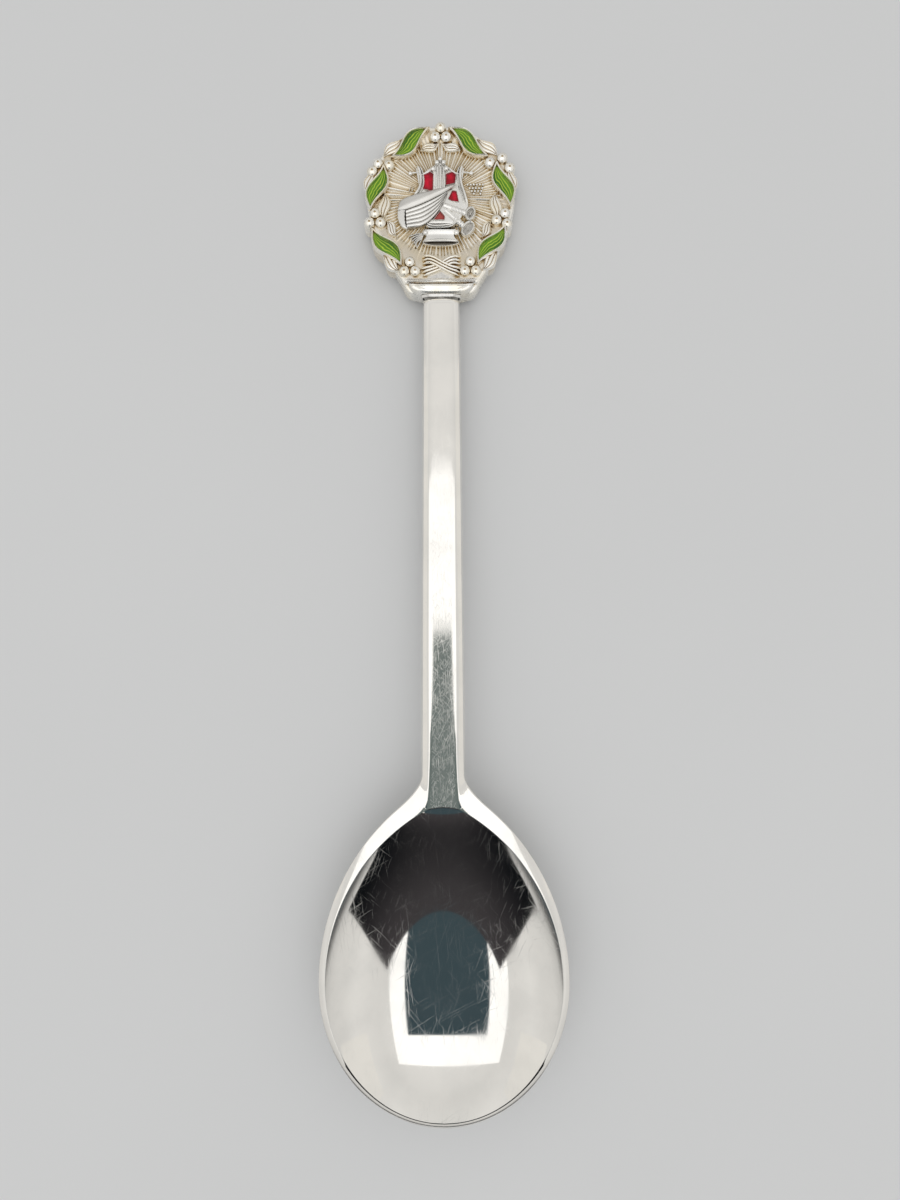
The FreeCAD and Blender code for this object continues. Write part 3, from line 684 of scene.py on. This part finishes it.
# corners of the four openings, and of the plate that they pierce
WINDOWS = (
    ((-2.45, 1.2), (-1.05, 0.9), (-1.0, 3.35), (-1.45, 3.7), (-2.35, 3.4)),
    ((0.65, 1.7), (1.95, 2.0), (2.1, 3.2), (1.65, 3.65), (0.7, 3.35)),
    ((1.0, -0.15), (1.55, 1.0), (2.15, 0.9), (2.45, -0.65), (1.4, -0.5)),
    ((-1.05, -3.1), (-0.1, -1.8), (0.55, -2.6), (0.5, -3.1)),
)
LYRE_PLATE = (
    (-3.4, 4.3), (-2.6, 3.4), (-0.75, 4.75), (-0.35, 5.3), (0.25, 5.3), (0.65, 4.75), (2.4, 3.4),
    (3.2, 4.3), (2.8, 1.5), (3.7, -1.2), (2.2, -3.5), (-2.4, -3.5), (-3.6, -0.3), (-2.9, 1.2),
)


def dense(corners):
    """Closely spaced points along a closed outline of straight lines."""
    spacing = 0.12
    ring = []
    for k, start in enumerate(corners):
        start, stop = np.array(start), np.array(corners[(k + 1) % len(corners)])
        count = max(2, int(np.linalg.norm(stop - start) / spacing))
        ring += [start + (stop - start) * n / count for n in range(count)]
    return np.array(ring)


def ellipse(x, y, half_long, half_short, degrees):
    turn = np.linspace(0, 2 * math.pi, 41)
    flat = np.stack([half_long * np.cos(turn), half_short * np.sin(turn)], axis=1)
    return placed(flat, x, y, degrees)


def lyre(skin):
    """The pierced plate with its curved arms, crossbar, strings and pearls."""
    pad(skin, dense(LYRE_PLATE), EMBLEM_FOOT, PLATE_LEVEL, rounding=0.1)
    for side, path in (
        (-1, ((-3.35, 4.75), (-2.85, 3.6), (-2.72, 2.2), (-3.05, 1.1), (-3.75, 0.1))),
        (1, ((3.1, 4.85), (2.68, 3.5), (2.82, 1.9), (3.25, 0.5), (3.72, -1.3))),
    ):
        line = curve(path, 41)
        ridge(skin, line, 0.5, 2.7, 3.5)
        inner = line + np.array([-side * 0.42, -0.1])
        ridge(skin, inner, 0.26, 2.8, 3.28)
        knob_x = side * 4.15
        line_ridge(skin, ((side * 2.9, 3.62), (side * 3.5, 3.6), (knob_x, 3.5)), 15, 0.3, 2.7, 3.15)
        bead(skin, knob_x, 3.48, 0.3, RELIEF_FOOT, 3.3)
    for x in (-0.52, 0.0, 0.46):
        line_ridge(skin, ((x, 0.9), (x, 2.6), (x * 0.8, 4.75)), 25, 0.36, 2.9, 3.38)
    line_ridge(skin, ((-2.7, 3.15), (-1.6, 3.65), (-0.7, 4.6)), 21, 0.24, 2.9, 3.3)
    line_ridge(skin, ((2.6, 3.25), (1.6, 3.65), (0.65, 4.6)), 21, 0.24, 2.9, 3.3)
    for x, y in ((-0.52, 4.8), (0.4, 4.82), (-1.04, 3.9), (0.75, 3.95), (-0.06, 5.3)):
        bead(skin, x, y, 0.32, RELIEF_FOOT, 3.68)
    for window in WINDOWS:
        ridge(skin, closed(dense(window)), 0.15, 2.9, 3.3, ends=False, columns=6)


def book(skin):
    """An open book lying across the lyre, its pages swept to the left."""
    top = curve(((-5.85, -1.6), (-5.45, -0.55), (-4.2, 0.1), (-1.9, 0.75), (0.3, 1.25),
                 (2.15, 1.65)), 61)
    fold = curve(((-5.75, -2.0), (-4.7, -1.75), (-2.5, -0.9), (-0.4, 0.1), (0.95, 0.85),
                  (2.1, 1.55)), 61)
    lined_strip(skin, top, fold, RELIEF_FOOT, 3.62, 1, 0.12, line_columns=16, crown=0.1, shade=0.3)
    upper = curve(((-4.75, -1.85), (-2.5, -0.98), (-0.45, 0.02), (0.95, 0.8)), 61)
    lower = curve(((-4.6, -4.3), (-2.3, -3.85), (-0.5, -2.2), (0.85, 0.25)), 61)
    height = np.linspace(3.62, 3.5, 61)
    lined_strip(skin, upper, lower, RELIEF_FOOT, height, 5, 0.2, line_columns=9)
    outer = curve(((-5.85, -1.6), (-5.85, -2.9), (-5.3, -4.1), (-4.6, -4.55)), 31)
    inner = curve(((-4.75, -1.85), (-4.8, -2.8), (-4.7, -3.7), (-4.5, -4.3)), 31)
    lined_strip(skin, outer, inner, RELIEF_FOOT, 3.5, 1, 0.16, line_columns=12, crown=0.05)


def roll(skin, x, y, degrees, length, radius, bands):
    """The upper half of a rolled sheet, with raised bands round it."""
    along = np.linspace(0, length, 61)
    turn = np.linspace(0, math.pi, 25)
    wide = radius + 0 * along
    for place in bands:
        wide = wide + 0.1 * np.exp(-(((along - place) / 0.11) ** 2))
    flat = np.stack([along[:, None] + 0 * turn, wide[:, None] * np.cos(turn)], axis=-1)
    z = 2.75 + (wide[:, None] + 0.15) * np.sin(turn)
    skin.add(raised(placed(flat, x, y, degrees), z))


def open_end(skin, x, y, half_long, half_short, degrees):
    """The flared end of a rolled sheet: a hollow darkened with painted shade, its rim and one fold
    inside.
    """
    rim = ellipse(x, y, half_long, half_short, degrees)
    pad(skin, rim[:-1], EMBLEM_FOOT, 3.0, rounding=0.15, recess=0.6)
    ridge(skin, rim, 0.46, RELIEF_FOOT, 3.7, ends=False)
    line_ridge(skin, ((x - 0.1, y - 0.25), (x, y), (x + 0.08, y + 0.27)), 9, 0.22, 2.9, 3.3)


def scrolls(skin):
    """Two rolled sheets to the right, and the turned-up edge of cloth under the lyre."""
    roll(skin, 0.45, -1.0, -21, 3.3, 0.46, (1.3, 1.75, 2.2, 2.65))
    roll(skin, 0.7, -1.75, -42, 3.5, 0.46, (1.8, 2.3, 2.8))
    open_end(skin, 4.0, -2.3, 0.82, 0.56, 75)
    open_end(skin, 3.65, -4.4, 1.0, 0.66, 55)
    fold = curve(((-2.15, -3.6), (-1.6, -4.1), (-0.4, -4.2), (1.4, -4.0), (2.05, -3.35),
                  (2.35, -2.8)), 41)
    ridge(skin, fold, 0.3, 2.9, 3.5)
    ridge(skin, fold + np.array([0.05, 0.32]), 0.3, 2.9, 3.4)


def stand(skin):
    """The foot of the lyre, with a fan of drapery on its left and a tassel on each side."""
    left = curve(((-2.2, -4.45), (-1.95, -4.9), (-2.05, -5.5), (-2.5, -6.1)), 31)
    right = curve(((2.0, -4.45), (1.75, -4.9), (1.9, -5.5), (2.45, -6.1)), 31)
    height = 3.28 - 0.24 * np.sin(np.linspace(0, math.pi, 31))
    lined_strip(skin, left, right, EMBLEM_FOOT, height, 1, 0.05, line_columns=20)
    ridge(skin, ellipse(0, -6.2, 2.4, 0.46, 0), 0.2, 2.7, 3.3, ends=False)
    # painted shade: a dark ellipse under the stand
    pad(skin, ellipse(0, -6.2, 2.35, 0.44, 0)[:-1], EMBLEM_FOOT, 2.9, rounding=0.05, recess=1.0)
    for side in (-1, 1):
        bead(skin, side * 2.1, -4.8, 0.38, RELIEF_FOOT, 3.4)
        tassel = ((side * 2.3, -4.8), (side * 2.7, -5.8), (side * 3.3, -6.9))
        line_ridge(skin, tassel, 15, 0.22, RELIEF_FOOT, 3.0)
    for k in range(6):
        reach = 0.35 * k
        pleat = (
            (-2.3, -4.75 - 0.1 * k), (-3.3, -4.9 - reach * 0.7), (-4.6 + 0.28 * k, -5.3 - reach),
        )
        line_ridge(skin, pleat, 17, 0.2, RELIEF_FOOT, 3.0)


def dots(skin):
    """A row of plain beads over shorter rows, and two small bars on the other side."""
    for row, (y, count) in enumerate(((1.95, 6), (1.45, 5), (1.05, 4), (0.68, 2))):
        for x in np.linspace(3.65 + 0.28 * row, 5.75 - 0.12 * row, count):
            bead(skin, x, y, 0.15, EMBLEM_FOOT, 3.02)
    for x in (-4.35, -3.95):
        line_ridge(skin, ((x, 1.0), (x + 0.1, 1.3), (x + 0.25, 1.75)), 11, 0.22, EMBLEM_FOOT, 3.0)


def emblem(material):
    """Lyre, book, rolled sheets, stand and beads in one piece."""
    skin = Skin()
    for part in (lyre, book, scrolls, stand, dots):
        part(skin)
    skin.points = [points + EMBLEM_PLACE for points in skin.points]
    return skin.build("emblem", material, sharp=60.0)


def window_enamels(material):
    """Red glass in the four openings of the lyre, a little darker at its edges.

    The glass of the lowest opening is paler than the rest.
    """
    for k, window in enumerate(WINDOWS, start=1):
        skin = Skin()
        ring = closed(dense(window))
        middle = ring[:-1].mean(axis=0)
        shares = np.linspace(1, 0, 12)
        flat = middle + (ring - middle) * shares[:, None, None]
        z = WINDOW_GLASS_LEVEL + 0.08 * (1 - shares**3)
        glass = raised(flat, z[:, None]) + EMBLEM_PLACE
        skin.add(glass, rim=shares[:, None] ** 3, tone=float(k == len(WINDOWS)))
        piece = skin.build(f"window_glass_{k}", material, sharp=40.0, fill=True)
        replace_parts(piece, f"window_enamel_{k}")


# ---------------------------------------------------------------- materials

HAIRLINE_WIDTH = 0.07
# the level of the noise where a hairline begins to show, and where it is full
HAIRLINE_LEVELS = (0.82, 0.88)

# colours, as linear red, green and blue with an alpha of 1
PLATE_CLEAN = (0.93, 0.912, 0.872, 1)
PLATE_HAZED = (0.87, 0.855, 0.82, 1)
CAST_BRIGHT = (0.98, 0.965, 0.92, 1)
CAST_WARM = (0.96, 0.905, 0.78, 1)
# painted shade and tarnish for the recesses of the cast silver
CAST_SHADE_AND_TARNISH = (0.46, 0.34, 0.17, 1)
EMBLEM_BRIGHT = (0.92, 0.91, 0.88, 1)
EMBLEM_WARM = (0.82, 0.81, 0.78, 1)
# painted shade and tarnish for the recesses of the emblem
EMBLEM_SHADE_AND_TARNISH = (0.22, 0.20, 0.17, 1)
GREEN_LIT = (0.13, 0.32, 0.01, 1)
GREEN_SHADED = (0.04, 0.16, 0.005, 1)
GREEN_VEIN = (0.60, 0.74, 0.07, 1)
GREEN_EDGE = (0.018, 0.075, 0.003, 1)
RED_CLEAR = (0.66, 0.002, 0.03, 1)
RED_CLOUDED = (0.34, 0.001, 0.012, 1)
RED_PALE = (0.42, 0.07, 0.06, 1)
RED_EDGE = (0.09, 0.001, 0.004, 1)
SOLDER_DULL = (0.66, 0.65, 0.63, 1)
SOLDER_CLEAN = (0.82, 0.81, 0.78, 1)
FLOOR_SHADE = (0.66, 0.67, 0.68, 1)
FLOOR_LIGHT = (0.70, 0.71, 0.72, 1)
BLACK = (0, 0, 0, 1)


class Graph:
    """A material and short ways to add its nodes."""

    def __init__(self, name):
        self.material = bpy.data.materials.new(name)
        self.material.use_nodes = True
        self.tree = self.material.node_tree
        self.surface = self.tree.nodes["Principled BSDF"]

    def add(self, kind, settings=None, **inputs):
        """A new node. Its inputs are given by name, or by number as i0, i1 and so on."""
        node = self.tree.nodes.new(f"ShaderNode{kind}")
        for name, value in (settings or {}).items():
            setattr(node, name, value)
        for name, value in inputs.items():
            numbered = name[0] == "i" and name[1:].isdigit()
            self.set(node.inputs[int(name[1:]) if numbered else name.replace("_", " ")], value)
        return node

    def set(self, socket, value):
        """Links a socket to another node's output, or gives it a plain value."""
        if isinstance(value, bpy.types.NodeSocket):
            self.tree.links.new(value, socket)
        else:
            socket.default_value = value

    def shade(self, **inputs):
        """Inputs of the surface shader, by name."""
        for name, value in inputs.items():
            self.set(self.surface.inputs[name.replace("_", " ")], value)

    def glow(self, colour):
        """A surface that gives off one colour and reflects nothing."""
        self.shade(Base_Color=BLACK, Roughness=1.0, Specular_IOR_Level=0.0, Emission_Color=colour,
                   Emission_Strength=1.0)

    def place(self, size=(1, 1, 1), turn=(0, 0, 0)):
        """Object coordinates for a pattern that is turned, and stretched along its own axes."""
        source = self.add("TexCoord").outputs["Object"]
        return self.add("Mapping", {"vector_type": "TEXTURE"}, Vector=source, Scale=size,
                        Rotation=turn).outputs[0]

    def noise(self, scale, detail=2.0, size=(1, 1, 1), turn=(0, 0, 0)):
        where = self.place(size, turn)
        return self.add("TexNoise", Vector=where, Scale=scale, Detail=detail).outputs["Fac"]

    def ramp(self, value, low, high, to_low=0.0, to_high=1.0):
        node = self.add("MapRange", {"interpolation_type": "SMOOTHSTEP"}, Value=value,
                        From_Min=low, From_Max=high, To_Min=to_low, To_Max=to_high)
        return node.outputs[0]

    def mix(self, factor, a, b):
        node = self.add("Mix", {"data_type": "RGBA"}, i0=factor)
        self.set(node.inputs[6], a)
        self.set(node.inputs[7], b)
        return node.outputs[2]

    def math(self, operation, a, b=0.0):
        return self.add("Math", {"operation": operation}, i0=a, i1=b).outputs[0]

    def value(self, name):
        """A number that the mesh keeps for each of its points."""
        return self.add("Attribute", {"attribute_name": name}).outputs["Fac"]

    def hairlines(self, turn, length, amount):
        """Thin scratches in one direction, as a mask. Their length is in millimetres."""
        size = (HAIRLINE_WIDTH * MM, length * MM, length * MM)
        scratch = self.noise(1.0, 0.0, size, (0, 0, turn))
        begin, full = HAIRLINE_LEVELS
        return self.ramp(scratch, begin - amount, full - amount)

    def bump(self, height, strength, distance):
        node = self.add("Bump", Height=height, Strength=strength, Distance=distance * MM)
        return node.outputs[0]


def polished_silver():
    """Bright silver plate with fine hairline scratches, most of them on the worn stem."""
    g = Graph("polished silver")
    worn = g.value("worn")
    lengthwise = g.hairlines(0.1, 5.0, 0.08)
    steep = g.hairlines(-0.35, 4.5, 0.08)
    crossing = g.math("MAXIMUM", g.hairlines(0.7, 5.0, 0.06), g.hairlines(-1.1, 5.0, 0.05))
    scratches = g.math("MAXIMUM", g.math("MAXIMUM", lengthwise, steep), crossing)
    crowded = g.math("MAXIMUM", g.hairlines(0.05, 2.0, 0.18), g.hairlines(-0.5, 1.2, 0.15))
    crowded = g.math("MAXIMUM", crowded, g.hairlines(0.8, 1.0, 0.13))
    pits = g.ramp(g.noise(3600.0, 2.0), 0.64, 0.72)
    wear = g.math("MULTIPLY", g.math("MAXIMUM", crowded, pits), worn)
    haze = g.noise(180.0, 3.0)
    smudge = g.ramp(haze, 0.45, 0.75, 0.0, 0.05)
    base = g.math("ADD", smudge, g.math("ADD", 0.045, g.math("MULTIPLY", worn, 0.12)))
    marks = g.math("ADD", g.math("MULTIPLY", scratches, 0.16), g.math("MULTIPLY", wear, 0.22))
    tint = g.mix(g.ramp(haze, 0.35, 0.7), PLATE_CLEAN, PLATE_HAZED)
    grain = g.noise(9000.0, 2.0)
    height = g.math("SUBTRACT", g.math("MULTIPLY", grain, 0.05), g.math("MAXIMUM", scratches, wear))
    g.shade(Base_Color=tint, Metallic=1.0, Roughness=g.math("ADD", base, marks),
            Normal=g.bump(height, 0.1, 0.005))
    return g.material


def antique_silver(name, bright, warm, recess, closed_sky, open_sky):
    """Cast silver, worn bright on its high places, and dark with painted shade and tarnish in its
    recesses.

    The share of open sky above a point, from an occlusion node, tells which of the two it is.
    """
    g = Graph(name)
    # painted shade: the less open sky above a point, the more of the shade and tarnish colour it gets
    hollow = g.add("AmbientOcclusion", {"samples": 8, "only_local": False}, Distance=0.6 * MM)
    exposure = g.ramp(hollow.outputs["AO"], closed_sky, open_sky)
    # a value kept for each point adds more painted shade and tarnish to chosen grooves and hollows
    exposure = g.math("SUBTRACT", exposure, g.value("recess"))
    patch = g.noise(420.0, 4.0)
    body = g.mix(g.ramp(patch, 0.35, 0.7), bright, warm)
    colour = g.mix(exposure, recess, body)
    grain = g.noise(5200.0, 3.0)
    rough = g.ramp(grain, 0.0, 1.0, 0.18, 0.34)
    g.shade(Base_Color=colour, Metallic=1.0, Roughness=rough, Normal=g.bump(grain, 0.25, 0.02))
    return g.material


def green_enamel():
    """Clear green glass over a chased ground: bright veins and deeper green at the edges."""
    g = Graph("green enamel")
    across = g.value("across")
    warped = g.math("ADD", across, g.ramp(g.noise(900.0, 2.0), 0.3, 0.7, -0.1, 0.1))
    wave = g.math("ABSOLUTE", g.math("SINE", g.math("MULTIPLY", warped, 7.5)))
    vein = g.ramp(wave, 0.0, 0.75, 1.0, 0.0)
    edge = g.ramp(g.math("ABSOLUTE", across), 0.6, 1.0)
    # one side of each leaf is painted lit and the other painted shaded
    side = g.ramp(across, -0.8, 0.8)
    body = g.mix(side, GREEN_LIT, GREEN_SHADED)
    lit = g.math("MULTIPLY", vein, g.ramp(edge, 0.2, 1.0, 0.85, 0.1))
    colour = g.mix(lit, body, GREEN_VEIN)
    colour = g.mix(g.math("MULTIPLY", edge, 0.85), colour, GREEN_EDGE)
    speck = g.noise(2600.0, 3.0)
    g.shade(Base_Color=colour, Metallic=0.0, Roughness=0.22, Specular_IOR_Level=0.3, Coat_Weight=0.2,
            Coat_Roughness=0.08, Normal=g.bump(g.math("ADD", vein, speck), 0.1, 0.03))
    return g.material


def red_enamel():
    """Clear red glass, deeper along its edges."""
    g = Graph("red enamel")
    rim = g.value("rim")
    cloud = g.noise(1500.0, 3.0)
    body = g.mix(g.ramp(cloud, 0.3, 0.7), RED_CLEAR, RED_CLOUDED)
    body = g.mix(g.value("tone"), body, RED_PALE)
    colour = g.mix(rim, body, RED_EDGE)
    g.shade(Base_Color=colour, Metallic=0.0, Roughness=0.25, Specular_IOR_Level=0.25, Coat_Weight=0.1,
            Coat_Roughness=0.08, Normal=g.bump(cloud, 0.08, 0.02))
    return g.material


def solder():
    """Dull grey solder with a slightly pebbled skin."""
    g = Graph("solder")
    grain = g.noise(3800.0, 4.0)
    colour = g.mix(g.ramp(grain, 0.3, 0.7), SOLDER_DULL, SOLDER_CLEAN)
    rough = g.ramp(grain, 0.3, 0.7, 0.28, 0.42)
    g.shade(Base_Color=colour, Metallic=1.0, Roughness=rough, Normal=g.bump(grain, 0.3, 0.02))
    return g.material


# ---------------------------------------------------------------- studio

FLOOR_SIZE = 3.0
CAMERA_HEIGHT = 0.1261
CAMERA_PLACE = (0.0010, 0.0021)
CAMERA_ROLL = math.radians(-0.26)
# a phone's lens: 26 mm, for a film frame of 3 to 4 with this long side
LENS = 26.0
FRAME_LONG_SIDE = 34.613
LAMP_PLACE = (-0.07, -0.295, 0.8)
LAMP_SIZE = 1.05
LAMP_POWER = 1.5
# the sky's colours at its foot and its top, and greys at heights between them
SKY_FOOT = (0.10, 0.11, 0.12, 1)
SKY_TOP = (0.80, 0.79, 0.775, 1)
SKY_BANDS = ((0.05, 0.14), (0.12, 0.56), (0.22, 0.67), (0.40, 0.70), (0.55, 0.77), (0.78, 0.70))


def stage_piece(name, points, faces, material):
    """A thing of the studio, which is not part of the spoon."""
    mesh = bpy.data.meshes.new(name)
    mesh.from_pydata(points, [], faces)
    mesh.materials.append(material)
    piece = bpy.data.objects.new(name, mesh)
    bpy.context.scene.collection.objects.link(piece)
    return piece


def rectangle(name, width, length, material):
    x, y = width / 2, length / 2
    corners = [(-x, -y, 0), (x, -y, 0), (x, y, 0), (-x, y, 0)]
    return stage_piece(name, corners, [(0, 1, 2, 3)], material)


def floor():
    """A plain pale table top."""
    g = Graph("pale floor")
    colour = g.mix(g.noise(12.0, 3.0), FLOOR_SHADE, FLOOR_LIGHT)
    g.shade(Base_Color=colour, Roughness=0.6)
    rectangle("floor", FLOOR_SIZE, FLOOR_SIZE, g.material)


def reflection_card(name, width, length, place, colour, turn=(0, 0, 0)):
    """A card that only shows in polished surfaces."""
    g = Graph(name)
    g.glow((*colour, 1))
    card = rectangle(name, width, length, g.material)
    card.location = place
    card.rotation_euler = turn
    only_in_reflections(card)


def surround(name, radius, half_turn, low, high, foot_colour, top_colour):
    """A screen bent round the bowl's tip, as a reflection card that fades between two colours."""
    g = Graph(name)
    height = g.add("SeparateXYZ", i0=g.place()).outputs["Z"]
    g.glow(g.mix(g.ramp(height, low, high), (*foot_colour, 1), (*top_colour, 1)))
    turn = np.linspace(-half_turn, half_turn, 41) - math.pi / 2
    flat = np.stack([radius * np.cos(turn), radius * np.sin(turn) + WIDEST_Y * MM], axis=1)
    points = np.concatenate([raised(flat, low), raised(flat, high)])
    count = len(turn)
    faces = [(k, k + 1, k + 1 + count, k + count) for k in range(count - 1)]
    only_in_reflections(stage_piece(name, points.tolist(), faces, g.material))


def only_in_reflections(item):
    """Hides an object from the camera and from every ray but a mirrored one."""
    for kind in ("camera", "diffuse", "shadow", "transmission"):
        setattr(item, f"visible_{kind}", False)


def sky():
    """Soft light from all round, dark at the horizon, in bands that follow the height."""
    world = bpy.data.worlds.new("studio")
    world.use_nodes = True
    tree = world.node_tree
    background = tree.nodes["Background"]
    background.inputs["Strength"].default_value = 1.0
    where = tree.nodes.new("ShaderNodeTexCoord")
    parts = tree.nodes.new("ShaderNodeSeparateXYZ")
    bands = tree.nodes.new("ShaderNodeValToRGB")
    tree.links.new(where.outputs["Generated"], parts.inputs[0])
    tree.links.new(parts.outputs["Z"], bands.inputs["Fac"])
    tree.links.new(bands.outputs["Color"], background.inputs["Color"])
    stops = bands.color_ramp.elements
    stops[0].position = 0.0
    stops[0].color = SKY_FOOT
    stops[1].position = 1.0
    stops[1].color = SKY_TOP
    for height, shade in SKY_BANDS:
        stops.new(height).color = (shade, shade * 0.99, shade * 0.97, 1)
    bpy.context.scene.world = world


def soft_box():
    """One large lamp above the bowl's side of the table."""
    light = bpy.data.lights.new("soft box", "AREA")
    light.shape = "RECTANGLE"
    light.size = LAMP_SIZE
    light.size_y = LAMP_SIZE
    light.energy = LAMP_POWER
    lamp = bpy.data.objects.new("soft box", light)
    lamp.location = LAMP_PLACE
    bpy.context.scene.collection.objects.link(lamp)


def camera():
    """Straight above the spoon, looking down."""
    data = bpy.data.cameras.new("camera")
    data.sensor_width = FRAME_LONG_SIDE
    data.lens = LENS
    data.clip_start = 0.001
    eye = bpy.data.objects.new("camera", data)
    eye.location = (*CAMERA_PLACE, CAMERA_HEIGHT)
    eye.rotation_euler = (0, 0, CAMERA_ROLL)
    bpy.context.scene.collection.objects.link(eye)
    bpy.context.scene.camera = eye
    bpy.context.scene.view_settings.view_transform = "Standard"


# ---------------------------------------------------------------- the scene

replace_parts(spoon_blank(polished_silver()), "spoon_blank")
cast = antique_silver("antique silver", CAST_BRIGHT, CAST_WARM, CAST_SHADE_AND_TARNISH, 0.2, 0.75)
cool = antique_silver("emblem silver", EMBLEM_BRIGHT, EMBLEM_WARM, EMBLEM_SHADE_AND_TARNISH, 0.0, 0.45)
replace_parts(plaque(cast), "finial")
wreath(cast)
capital(cast)
emblem(cool)
leaf_enamels(green_enamel())
window_enamels(red_enamel())
solder_skin = solder()
for slot in bpy.data.objects["solder_joint"].material_slots:
    slot.material = solder_skin

floor()
reflection_card(
    "overhead card", width=0.1, length=0.15, place=(-0.0055, -0.121, 0.135),
    colour=(0.042, 0.066, 0.078),
)
reflection_card(
    "stem card", width=0.012, length=0.0357, place=(-0.0004, -0.01815, 0.03),
    colour=(0.13, 0.16, 0.155),
)
surround(
    "dark screen", radius=0.034, half_turn=0.77, low=0.0145, high=0.054,
    foot_colour=(0.004, 0.005, 0.006), top_colour=(0.046, 0.042, 0.045),
)
for side in (-1, 1):
    reflection_card(
        "side card", width=0.14, length=0.18, place=(side * 0.25, 0.04, 0.165),
        colour=(0.78, 0.765, 0.735), turn=(0, math.pi / 2, 0),
    )
sky()
soft_box()
camera()
